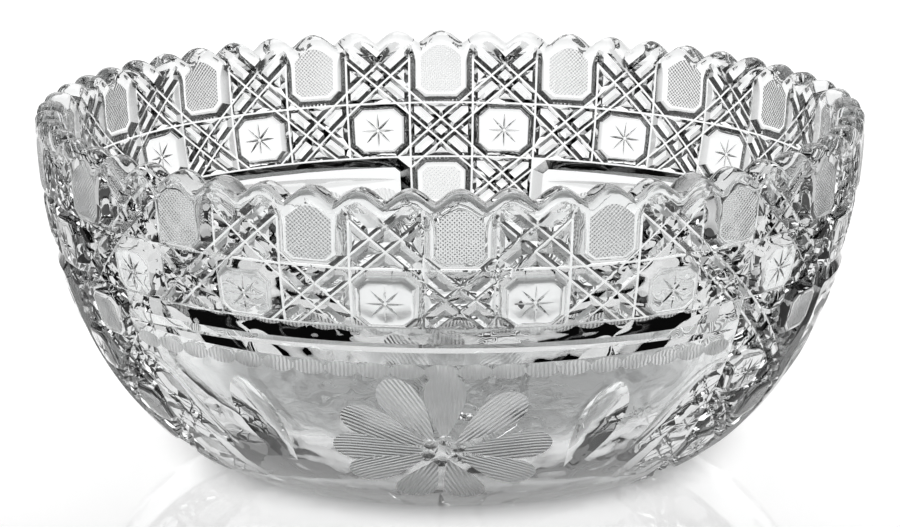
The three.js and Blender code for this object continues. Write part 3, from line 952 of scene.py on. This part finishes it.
    def cell_lines(self) -> tuple[Array, Array]:
        """Lines inside every cell of one third, those of the top row apart from the others.

        Returns:
            Segments of turn and tilt for the top row, and for the rows under it.
        """
        top, under = [], []
        for row in range(self.rows):
            for column in self.columns_in(row):
                if (row + column) % 2:
                    shapes = [self.cane.crossed_lines(row == 0), self.cane.crossed_edges(row == 0)]
                else:
                    shapes = [self.cane.button_lines(row == 0)]
                    if row % 2 == 0:
                        inset = self.cane.bevel + self.cane.hatch_margin
                        shapes.append(self.cane.octagon(inset, row == 0))
                placed = self.on_wall(np.concatenate(shapes), row, column)
                (top if row == 0 else under).append(placed)
        return np.concatenate(top), np.concatenate(under)

    def columns_in(self, row: int) -> range:
        """Columns of a third in which a row has cells: all of them, or those beside the panel."""
        first = -self.panel_columns // 2
        start = first if row < self.ring_rows else first + self.panel_columns
        return range(start, first + self.columns // self.thirds)

    def on_wall(self, shape: Array, row: int, column: int) -> Array:
        """Moves points from a cell's own frame to turn and tilt."""
        middle = np.array([(column + 0.5) * self.column, self.rows_top - (row + 0.5) * self.row_tilt])
        return middle + shape * np.array([self.column, self.row_tilt])

    def divided(self, marks: Array, step: float) -> Array:
        """Divides the gaps between sorted marks evenly into steps no longer than a length."""
        marks = np.unique(np.round(marks, 9))
        steps = np.maximum(1, np.ceil(np.diff(marks) / step - 1e-6)).astype(int)
        pieces = [np.linspace(a, b, n, endpoint=False) for a, b, n in zip(marks[:-1], marks[1:], steps)]
        return np.concatenate([*pieces, marks[-1:]])

    def wall_net(self) -> tuple[Array, Array]:
        """The net of one third of the outer wall, from its panel's left side to the next panel.

        Returns:
            Points of turn and tilt, and triangles.
        """
        net = CreaseNet()
        self.add_border(net)
        self.add_cell_sides(net)
        self.add_long_cut(net)
        self.add_panel_bevels(net)
        self.add_engraving(net)
        self.add_cells(net)

        def clear(points: Array) -> Array:
            turn, tilt, edge = *points.T, self.fill_margin
            inside = (turn > self.left + edge) & (turn < self.right - edge)
            return inside & (tilt > self.form.foot_tilt + edge) & (tilt < self.rim_edge(turn) - edge)

        low, high = np.array([self.left, self.form.foot_tilt]), np.array([self.right, RIM_TILT])
        net.fill(low, high, self.panel_fill, lambda points: clear(points) & self.in_panel(points))
        net.fill(low, high, self.cell_fill, lambda points: clear(points) & ~self.in_panel(points))
        return net.triangles()

    def upright(self, turn: float, gap: float) -> Array:
        """A line up the wall to a gap under the rim, which in a panel starts at the panel's top."""
        end = self.rim_edge(np.array([turn])) - gap
        tilts = self.divided(np.append(self.tilt_marks, end), self.line_step)
        if self.left + self.column / 2 <= turn <= self.half_panel - self.column / 2:
            tilts = tilts[tilts >= self.panel_top - WELD_GAP]
        return np.column_stack([np.full_like(tilts, turn), tilts])

    def level(self, tilt: float) -> Array:
        """A line round the wall, which below a panel's top starts at the panel's right side."""
        turns = self.divided(self.turn_marks, self.line_step)
        if tilt <= self.panel_top - self.row_tilt / 2:
            turns = turns[turns >= self.half_panel - WELD_GAP]
        return np.column_stack([turns, np.full_like(turns, tilt)])

    def add_border(self, net: CreaseNet) -> None:
        """Adds a third's outline to a net: the rim's edge, the foot and both sides."""
        turns = np.linspace(self.left, self.right, self.scallops.samples // self.thirds + 1)
        net.add_path(np.column_stack([turns, self.rim_edge(turns)]))
        turns = self.divided(self.turn_marks, self.foot_step)
        net.add_path(np.column_stack([turns, np.full_like(turns, self.form.foot_tilt)]))
        for turn in (self.left, self.right):
            net.add_path(self.upright(turn, 0.0))

    def add_cell_sides(self, net: CreaseNet) -> None:
        """Adds the edges of the flat floors between the cells to a net."""
        floor = np.array([-1, 1]) * self.cane.flat
        for turn in (self.column_lines + floor[:, None] * self.column).ravel():
            if self.left < turn < self.right:
                net.add_path(self.upright(turn, self.run_out_gap))
        for tilt in (self.row_lines + floor[:, None] * self.row_tilt).ravel():
            net.add_path(self.level(tilt))

    def add_cells(self, net: CreaseNet) -> None:
        """Adds the lines inside the cells to a net, with the tops of hatched lands and the stars."""
        cane, gap = self.cane, self.run_out_gap
        top_lines, under_lines = self.cell_lines()
        net.add_segments(top_lines, self.line_step, lambda p: p[:, 1] < self.rim_edge(p[:, 0]) - gap)
        net.add_segments(under_lines, self.line_step)
        half_land = (0.5 - cane.bevel - cane.hatch_margin) * self.column
        across = np.linspace(-half_land, half_land, self.hatch_steps + 1)
        for column in self.columns_in(0):
            if column % 2 == 0:
                turns = (column + 0.5) * self.column + across
                net.add_path(np.column_stack([turns, self.rim_edge(turns) - self.hatch_gap]))
        for row in range(1, self.rows, 2):
            for column in self.columns_in(row):
                for path in cane.star_paths() if (row + column) % 2 == 0 else ():
                    net.add_path(self.on_wall(path / self.cell_size(row), row, column))

    def add_long_cut(self, net: CreaseNet) -> None:
        """Adds the outline and the floor of a panel's long cut to a net."""
        panel = self.panel
        reach = self.half_panel - panel.end_gap
        turns = reach * np.sin(np.linspace(-np.pi / 2, np.pi / 2, self.cut_steps + 1))
        middle = float(self.panel_tilt(panel.cut_drop))
        half = panel.cut_width / 2 / self.panel_rise * panel.cut_fullness(turns, self.half_panel)
        upper, lower = (np.column_stack([turns, middle + sign * half]) for sign in (1, -1))
        net.add_path(np.concatenate([upper, lower[-2:0:-1]]), closed=True)
        net.add_path(np.column_stack([turns[1:-1], np.full(len(turns) - 2, middle)]))

    def add_panel_bevels(self, net: CreaseNet) -> None:
        """Adds the bevels along a panel's sides and top, and its corner cuts, to a net."""
        c, wide, tall = self.cane.corner_cut, self.cane.bevel, self.top_bevel
        land = c + wide * ROOT2
        depth = (self.panel_top - self.form.foot_tilt) / self.row_tilt
        side, top = (wide, land - wide), (land - tall, tall)
        lines = [*self.cane.twin([[(c, 0), (0, c)]]), [top, side], [side, (wide, depth)]]
        lines += [[(0, c), side], [(c, 0), top], [top, (self.half_panel / self.column, tall)]]
        size = np.array([self.column, self.row_tilt])
        for sign in (-1, 1):
            corner = np.array([sign * self.half_panel, self.panel_top])
            net.add_segments(corner - np.array(lines, float) * size * np.array([sign, 1]), self.line_step)

    def add_engraving(self, net: CreaseNet) -> None:
        """Adds the outlines of a panel's leaves, petals, fringe and dots to a net."""
        panel, flower = self.panel, self.panel.flower
        for leaf in panel.leaves():
            net.add_path(leaf.outline(self.form, self.leaf_steps), closed=True)
        for petal in self.petal_cuts:
            net.add_path(petal.outline(self.form, self.petal_steps), closed=True)
        angle = np.linspace(0, 2 * np.pi, self.oval_steps, endpoint=False)
        oval = np.column_stack([np.cos(angle), np.sin(angle)])
        tilt = float(self.panel_tilt(panel.fringe_drop))
        size = np.array([panel.fringe_half_width, panel.fringe_half_height]) / self.form.scale(tilt)
        for turn in panel.fringe_turns():
            net.add_path(np.array([turn, tilt]) + oval * size, closed=True)
        for centre in flower.dot_centres(self.form):
            dot = oval[::2] * flower.dot_radius / self.form.scale(flower.tilt)
            net.add_path(centre + dot, closed=True)

    def rim_rows(self) -> Array:
        """Rows of points over the rounded rim, from the outer wall to the inside.

        A row's place w across the rim and its height h above the wall's edge lie on a flattened
        arch, |1 - 2w| ** p + h ** p = 1, whose crest is the scallop's.

        Returns:
            Points of shape (rows, samples, 3).
        """
        rim, form = self.scallops, self.form
        turn = self.rim_turns
        local = (turn - self.left) % self.third + self.left
        tilt = self.rim_edge(turn)
        outer = form.outside(turn, tilt, self.depth(np.column_stack([local, tilt])))
        inner = form.inside(turn, form.inside_tilt_under_rim(rim.edge(turn)))
        angle = np.linspace(0, np.pi, rim.edge_rows + 1)
        swing = np.sign(np.cos(angle)) * np.abs(np.cos(angle)) ** (2 / rim.edge_power)
        share = ((1 - swing) / 2)[:, None, None]
        lift = rim.edge_drop * np.sin(angle).clip(0) ** (2 / rim.edge_power)
        rows = outer * (1 - share) + inner * share
        rows[..., 2] += lift[:, None]
        return rows

    def inside_rows_below(self) -> Array:
        """Rows of points down the smooth inside, from the rim's inner edge to the floor's edge."""
        top = self.form.inside_tilt_under_rim(self.scallops.edge(self.rim_turns))
        share = np.linspace(1, 0, self.inside_rows + 1)[:, None]
        return self.form.inside(np.tile(self.rim_turns, (self.inside_rows + 1, 1)), top * share)

    def floor_disc(self, edge: Array) -> tuple[Array, Array]:
        """The flat floor of the inside, filled within its edge."""
        net = CreaseNet()
        net.add_path(edge[:, :2], closed=True)
        reach = np.full(2, self.form.centre)
        limit = self.form.centre - self.floor_fill / 3
        net.fill(-reach, reach, self.floor_fill, lambda p: np.hypot(p[:, 0], p[:, 1]) < limit)
        points, faces = net.triangles()
        return np.column_stack([points, np.full(len(points), edge[0, 2])]), faces

    def foot_disc(self, edge: Array) -> tuple[Array, Array]:
        """The flat foot with a star of mitre rays, deepest at their widest place.

        Args:
            edge: Points of the wall's lower edge, in order of turn.

        Returns:
            Points and triangles, facing up.
        """
        net = CreaseNet()
        net.add_path(edge[:, :2], closed=True)
        reach = self.form.foot_radius - self.foot_ring
        waist = self.ray_start + self.ray_widest * (reach - self.ray_start)
        pitch = FULL_TURN / self.rays
        turn = np.arange(self.rays) * pitch
        spread = self.ray_spread * pitch / 2
        start, tip, floor = (around(turn, r, 0.0)[:, :2] for r in (self.ray_start, reach, waist))
        before, after = (around(turn + s, waist, 0.0)[:, :2] for s in (-spread, spread))
        pairs = [(start, before), (start, after), (tip, before), (tip, after)]
        pairs += [(start, floor), (floor, tip), (before, floor), (floor, after)]
        net.add_segments(np.concatenate([np.stack(pair, axis=1) for pair in pairs]), self.floor_fill)
        points, faces = net.triangles()
        radius = np.hypot(points[:, 0], points[:, 1])
        inwards = (radius - self.ray_start) / (waist - self.ray_start)
        along = np.minimum(inwards, (reach - radius) / (reach - waist))
        angle = np.degrees(np.arctan2(points[:, 0], -points[:, 1]))
        off = np.abs(angle - np.round(angle / pitch) * pitch)
        depth = np.where(off < ON_LINE, self.ray_depth * np.clip(along, 0, 1), 0)
        return np.column_stack([points, depth]), faces

    def foot_edge(self, walls: list[Array], tilts: Array) -> Array:
        """Points of the wall's lower edge in order of turn, each once.

        Args:
            walls: Points of each third of the wall.
            tilts: Tilts of those points.

        Returns:
            The edge's points.
        """
        low = np.concatenate([wall[np.abs(tilts - self.form.foot_tilt) < ON_LINE / 10] for wall in walls])
        edge = low[np.argsort(np.round(np.arctan2(low[:, 0], -low[:, 1]), 7))]
        return edge[np.linalg.norm(edge - np.roll(edge, 1, axis=0), axis=1) > ON_LINE]

    def build(self) -> bpy.types.Object:
        """Makes the bowl's mesh, one closed skin of glass.

        Returns:
            The bowl's object.
        """
        net, triangles = self.wall_net()
        net_middles = net[triangles].mean(axis=1)
        finish = self.finish_at(net_middles)
        lines = self.line_coordinates(net[triangles], net_middles, finish)
        depth = self.depth(net)
        starts = np.arange(self.thirds) * self.third
        walls = [self.form.outside(net[:, 0] + start, net[:, 1], depth) for start in starts]
        parts = list(walls)
        faces = [triangles + k * len(net) for k in range(self.thirds)]
        count = len(net) * self.thirds
        for rows in (self.rim_rows(), self.inside_rows_below()):
            parts.append(rows.reshape(-1, 3))
            faces.append(ring_faces(*rows.shape[:2]) + count)
            count += rows.shape[0] * rows.shape[1]
        floor_points, floor_faces = self.floor_disc(rows[-1])
        foot_points, foot_faces = self.foot_disc(self.foot_edge(walls, net[:, 1]))
        parts += [floor_points, foot_points]
        faces += [floor_faces + count, foot_faces[:, ::-1] + count + len(floor_points)]

        extra = sum(len(f) for f in faces) - len(triangles) * self.thirds
        finish = np.concatenate([np.tile(finish, self.thirds), np.zeros(extra, int)])
        lines = np.concatenate([np.tile(lines, (self.thirds, 1, 1)), np.zeros((extra, 3, 2))])
        return make_piece("cut_crystal_bowl", np.concatenate(parts), np.concatenate(faces), finish, lines)


def ring_faces(rows: int, around_count: int) -> Array:
    """Triangles between neighbouring closed rows of points, each row lying inside the last.

    Args:
        rows: How many rows there are.
        around_count: Points in each row.

    Returns:
        Point numbers of the triangles.
    """
    here = np.arange(around_count)
    after = (here + 1) % around_count
    first = (np.arange(rows - 1) * around_count)[:, None]
    a, b = first + here, first + after
    c, d = b + around_count, a + around_count
    halves = [np.stack([a, b, c], axis=-1), np.stack([a, c, d], axis=-1)]
    return np.stack(halves, axis=2).reshape(-1, 3)


def make_piece(name: str, points: Array, faces: Array, finish: Array, lines: Array) -> bpy.types.Object:
    """Makes a mesh object from points in millimetres, welded into one skin.

    Args:
        name: The object's name.
        points: Points, one row each.
        faces: Three point numbers for each triangle.
        finish: The finish of each triangle.
        lines: Coordinates of the engraved lines at each triangle's corners.

    Returns:
        The new object, linked to the scene.
    """
    mesh = bpy.data.meshes.new(name)
    mesh.vertices.add(len(points))
    mesh.vertices.foreach_set("co", (points * MM).ravel())
    mesh.loops.add(len(faces) * 3)
    mesh.loops.foreach_set("vertex_index", faces.ravel())
    mesh.polygons.add(len(faces))
    mesh.polygons.foreach_set("loop_start", np.arange(len(faces)) * 3)
    mesh.polygons.foreach_set("use_smooth", np.ones(len(faces), bool))
    engraving = mesh.uv_layers.new(name="engraving")
    engraving.data.foreach_set("uv", lines.ravel())
    mesh.attributes.new("finish", "FLOAT", "FACE").data.foreach_set("value", finish.astype(float))
    mesh.update(calc_edges=True)
    work = bmesh.new()
    work.from_mesh(mesh)
    bmesh.ops.remove_doubles(work, verts=work.verts, dist=WELD_GAP)
    bmesh.ops.dissolve_degenerate(work, edges=work.edges, dist=WELD_GAP)
    open_edges = sum(not edge.is_manifold for edge in work.edges)
    work.to_mesh(mesh)
    work.free()
    mesh.set_sharp_from_angle(angle=math.radians(SHARP_ANGLE))
    counts = len(mesh.vertices), len(mesh.polygons), open_edges
    log.info("%s: %d points, %d triangles, %d open edges", name, *counts)
    piece = bpy.data.objects.new(name, mesh)
    bpy.context.scene.collection.objects.link(piece)
    return piece


@dataclass(frozen=True)
class CutCrystal:
    """Lead crystal, blown thick, cut on wheels and polished with acid.

    It is clear and neutral, it bends light strongly, and its cut faces are smooth, with the slight
    waves that acid leaves. Engraved petals, fringe and hatching are matte, with fine parallel lines.
    Heights are millimetres.
    """

    tint: str = "#fafbfb"
    ior: float = 1.545
    lined_roughness: float = 0.4
    hatched_roughness: float = 0.27
    line_height: float = 0.24
    hatch_height: float = 0.14
    wave_scale: float = 110.0
    wave_height: float = 0.2

    def by_finish(self, tree: bpy.types.NodeTree, lined: float, hatched: float) -> bpy.types.NodeSocket:
        """A value that is 0 on polished glass.

        Args:
            tree: The glass's nodes.
            lined: The value on lined glass.
            hatched: The value on hatched glass.

        Returns:
            The output that holds the value.
        """
        finish = add_node(tree, "ShaderNodeAttribute", attribute_name="finish").outputs["Fac"]
        span = {0: finish, 1: float(Finish.LINED), 2: float(Finish.HATCHED), 3: lined, 4: hatched}
        value = add_node(tree, "ShaderNodeMapRange", span).outputs[0]
        return math_node(tree, "MULTIPLY", value, math_node(tree, "MINIMUM", finish, 1.0))

    def relief(self, tree: bpy.types.NodeTree) -> bpy.types.NodeSocket:
        """Builds the height of the surface: ridges along the engraved lines, and slight waves.

        Args:
            tree: The glass's nodes.

        Returns:
            The height in millimetres.
        """
        engraving = add_node(tree, "ShaderNodeUVMap", uv_map="engraving").outputs["UV"]
        number = add_node(tree, "ShaderNodeSeparateXYZ", {0: engraving}).outputs
        across, along = (math_node(tree, "PINGPONG", number[axis], 0.5) for axis in "XY")
        ridges = math_node(tree, "MULTIPLY_ADD", along, self.by_finish(tree, 0.0, 1.0), across)
        tall = self.by_finish(tree, 2 * self.line_height, 2 * self.hatch_height)
        lines = math_node(tree, "MULTIPLY", ridges, tall)
        place = add_node(tree, "ShaderNodeTexCoord").outputs["Object"]
        noise = {"Vector": place, "Scale": self.wave_scale, "Detail": 1.0}
        waves = add_node(tree, "ShaderNodeTexNoise", noise).outputs["Fac"]
        return math_node(tree, "MULTIPLY_ADD", waves, self.wave_height, lines)

    def material(self) -> bpy.types.Material:
        """Builds the glass, with roughness and lines only where the finish asks for them."""
        made = bpy.data.materials.new("polished_lead_crystal")
        tree = new_tree(made)
        bump = add_node(tree, "ShaderNodeBump", {"Height": self.relief(tree), "Distance": MM})
        rough = self.by_finish(tree, self.lined_roughness, self.hatched_roughness)
        looks = {
            "Base Color": srgb(self.tint),
            "Roughness": rough,
            "IOR": self.ior,
            "Transmission Weight": 1.0,
            "Normal": bump.outputs[0],
        }
        glass = add_node(tree, "ShaderNodeBsdfPrincipled", looks)
        add_node(tree, "ShaderNodeOutputMaterial", {"Surface": glass.outputs[0]})
        return made


@dataclass(frozen=True)
class StudioFloor:
    """A pale, glossy opal board that the bowl stands on, which glows.

    The board glows evenly, and more in a painted pool of light round and behind the bowl; a painted
    shadow under the foot dims it there, so clear glass has white behind it and pale grey at its sides.
    Lengths are metres.
    """

    half_width: float = 4.0
    colour: str = "#f7f7f7"
    roughness: float = 0.06
    glow: float = 0.38
    # painted pool of light: the glow's strength in the pool round and behind the bowl, and the pool's edges
    # below
    pool_glow: float = 0.68
    # painted shadow under the foot: the share of the glow left there, and the shadow's middle, squeeze and
    # radii
    painted_shadow: float = 0.12
    painted_shadow_middle: float = 0.02
    painted_shadow_squeeze: float = 1.2
    painted_shadow_radius: tuple[float, float] = (0.066, 0.092)
    pool_aside: tuple[float, float] = (0.34, 0.09)
    pool_spread: float = 0.15
    pool_front: tuple[float, float] = (-0.22, -0.04)
    pool_back: tuple[float, float] = (1.6, 0.9)

    def strength(self, tree: bpy.types.NodeTree) -> bpy.types.NodeSocket:
        """Builds the glow by place: the board's even glow and the painted pool of light, times the painted
        shadow under the foot.

        Args:
            tree: The board's nodes.

        Returns:
            The strength of the glow.
        """
        place = add_node(tree, "ShaderNodeTexCoord").outputs["Object"]
        parts = add_node(tree, "ShaderNodeSeparateXYZ", {0: place}).outputs
        behind = math_node(tree, "MAXIMUM", parts["Y"], 0.0)
        wide = math_node(tree, "ABSOLUTE", parts["X"])
        aside = math_node(tree, "MULTIPLY_ADD", behind, -self.pool_spread, wide)
        squeezed = {0: place, 1: (self.painted_shadow_squeeze, 1.0, 1.0), 2: (0.0, -self.painted_shadow_middle, 0.0)}
        oval = add_node(tree, "ShaderNodeVectorMath", squeezed, operation="MULTIPLY_ADD").outputs[0]
        away = add_node(tree, "ShaderNodeVectorMath", {0: oval}, operation="LENGTH").outputs["Value"]
        # painted shadow: the glow dims in an oval under and just behind the foot, in place of the bowl's
        # shadow
        painted_shadow = soft_step(tree, away, *self.painted_shadow_radius, self.painted_shadow, 1.0)
        # painted pool of light: brighter round and behind the bowl, fading towards the sides and the front
        pool = soft_step(tree, aside, *self.pool_aside, 0.0, 1.0)
        for edge in (self.pool_front, self.pool_back):
            pool = math_node(tree, "MULTIPLY", pool, soft_step(tree, parts["Y"], *edge, 0.0, 1.0))
        level = math_node(tree, "MULTIPLY_ADD", pool, self.pool_glow - self.glow, self.glow)
        return math_node(tree, "MULTIPLY", painted_shadow, level)

    def build(self) -> bpy.types.Object:
        """Makes the floor, a flat grid of two by two points at the height of the foot."""
        x, y = np.meshgrid([-self.half_width, self.half_width], [-self.half_width, self.half_width])
        points = np.column_stack([x.ravel(), y.ravel(), np.zeros(4)])
        mesh = bpy.data.meshes.new("studio_floor")
        mesh.from_pydata(points.tolist(), [], [(0, 1, 3, 2)])
        floor = bpy.data.objects.new("studio_floor", mesh)
        bpy.context.scene.collection.objects.link(floor)
        made = bpy.data.materials.new("white_opal_board_painted_glow")
        tree = new_tree(made)
        looks = {
            "Base Color": srgb(self.colour),
            "Roughness": self.roughness,
            # the board's glow, with its painted pool of light and its painted shadow under the foot
            "Emission Color": srgb("#ffffff"),
            "Emission Strength": self.strength(tree),
        }
        board = add_node(tree, "ShaderNodeBsdfPrincipled", looks)
        add_node(tree, "ShaderNodeOutputMaterial", {"Surface": board.outputs[0]})
        mesh.materials.append(made)
        log.info("studio_floor: %.1f m wide", 2 * self.half_width)
        return floor


@dataclass(frozen=True)
class Studio:
    """Soft light for glass: a white sheet behind the bowl, a softbox above and a dim room.

    Clear glass shows what lies behind it, so against the white sheet its edges draw dark. The
    softbox stands high behind the bowl, which leaves a soft shadow before it. Edges of the sheet and
    of the darker front are directions, as parts of a unit vector.
    """

    sheet: float = 1.0
    sheet_slope: float = 2.0
    sheet_edge: float = 0.25
    sheet_top: tuple[float, float] = (0.5, 0.75)
    room: float = 0.08
    front_loss: float = 0.065
    front_edge: tuple[float, float] = (-0.4, -0.8)
    softbox_size: float = 1.0
    softbox_place: tuple[float, float, float] = (0.0, 0.8, 1.2)
    softbox_power: float = 5.0

    def build(self) -> None:
        """Makes the world and the softbox."""
        bpy.context.scene.world = self.world()
        bpy.context.scene.collection.objects.link(self.softbox())
        log.info("studio: world and softbox")

    def world(self) -> bpy.types.World:
        """Makes the room's light by direction: the sheet behind, and less light from the front."""
        world = bpy.data.worlds.new("studio")
        tree = new_tree(world)
        direction = add_node(tree, "ShaderNodeTexCoord").outputs["Generated"]
        parts = add_node(tree, "ShaderNodeSeparateXYZ", {0: direction}).outputs
        wide = math_node(tree, "ABSOLUTE", parts["X"])
        slant = math_node(tree, "MULTIPLY", wide, self.sheet_slope)
        inside = math_node(tree, "SUBTRACT", parts["Y"], slant)
        sheet = soft_step(tree, inside, 0.0, self.sheet_edge, 0.0, self.sheet)
        front = soft_step(tree, parts["Y"], *self.front_edge, 0.0, -self.front_loss)
        below = soft_step(tree, parts["Z"], *self.sheet_top, 1.0, 0.0)
        both = math_node(tree, "ADD", sheet, front)
        level = math_node(tree, "MULTIPLY_ADD", both, below, self.room)
        light = add_node(tree, "ShaderNodeBackground", {"Strength": level})
        add_node(tree, "ShaderNodeOutputWorld", {"Surface": light.outputs[0]})
        return world

    def softbox(self) -> bpy.types.Object:
        """Makes a square lamp that faces the middle of the floor."""
        lamp = bpy.data.lights.new("softbox", "AREA")
        lamp.size = self.softbox_size
        lamp.energy = self.softbox_power
        softbox = bpy.data.objects.new("softbox", lamp)
        softbox.location = self.softbox_place
        softbox.rotation_mode = "QUATERNION"
        softbox.rotation_quaternion = (-Vector(self.softbox_place)).to_track_quat("-Z", "Y")
        return softbox


@dataclass(frozen=True)
class PhotoCamera:
    """The camera at the photograph's viewing angle, worked out from the rim and the foot."""

    azimuth: float = 3.6
    elevation: float = 13.17
    distance: float = 1249.7
    aim_height: float = 47.24
    lens: float = 202.74

    def build(self) -> None:
        """Makes the camera and gives it to the scene."""
        data = bpy.data.cameras.new("camera")
        data.lens = self.lens
        data.sensor_width = 36.0
        data.clip_start, data.clip_end = 0.01, 50.0
        camera = bpy.data.objects.new("camera", data)
        a, e = math.radians(self.azimuth), math.radians(self.elevation)
        back = Vector((math.sin(a) * math.cos(e), -math.cos(a) * math.cos(e), math.sin(e)))
        camera.location = Vector((0, 0, self.aim_height * MM)) + back * self.distance * MM
        camera.rotation_mode = "QUATERNION"
        camera.rotation_quaternion = (-back).to_track_quat("-Z", "Y")
        bpy.context.scene.collection.objects.link(camera)
        bpy.context.scene.camera = camera


def main() -> None:
    """Builds the bowl, its floor, the light and the camera."""
    logging.basicConfig(level=logging.INFO, format="%(name)s %(message)s")
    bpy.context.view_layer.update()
    low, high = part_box(BOWL_NODE)
    form = WallForm(rim_radius=(high.x - low.x) / 2 / MM, height=(high.z - low.z) / MM)
    bowl = CutGlassBowl(form).build()
    bowl.data.materials.append(CutCrystal().material())
    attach(bowl, "root")
    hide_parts(BOWL_NODE)
    StudioFloor().build()
    Studio().build()
    PhotoCamera().build()
    scene = bpy.context.scene
    scene.view_settings.view_transform = "Standard"
    scene.cycles.max_bounces = scene.cycles.transmission_bounces = 32


if __name__ == "__main__":
    main()
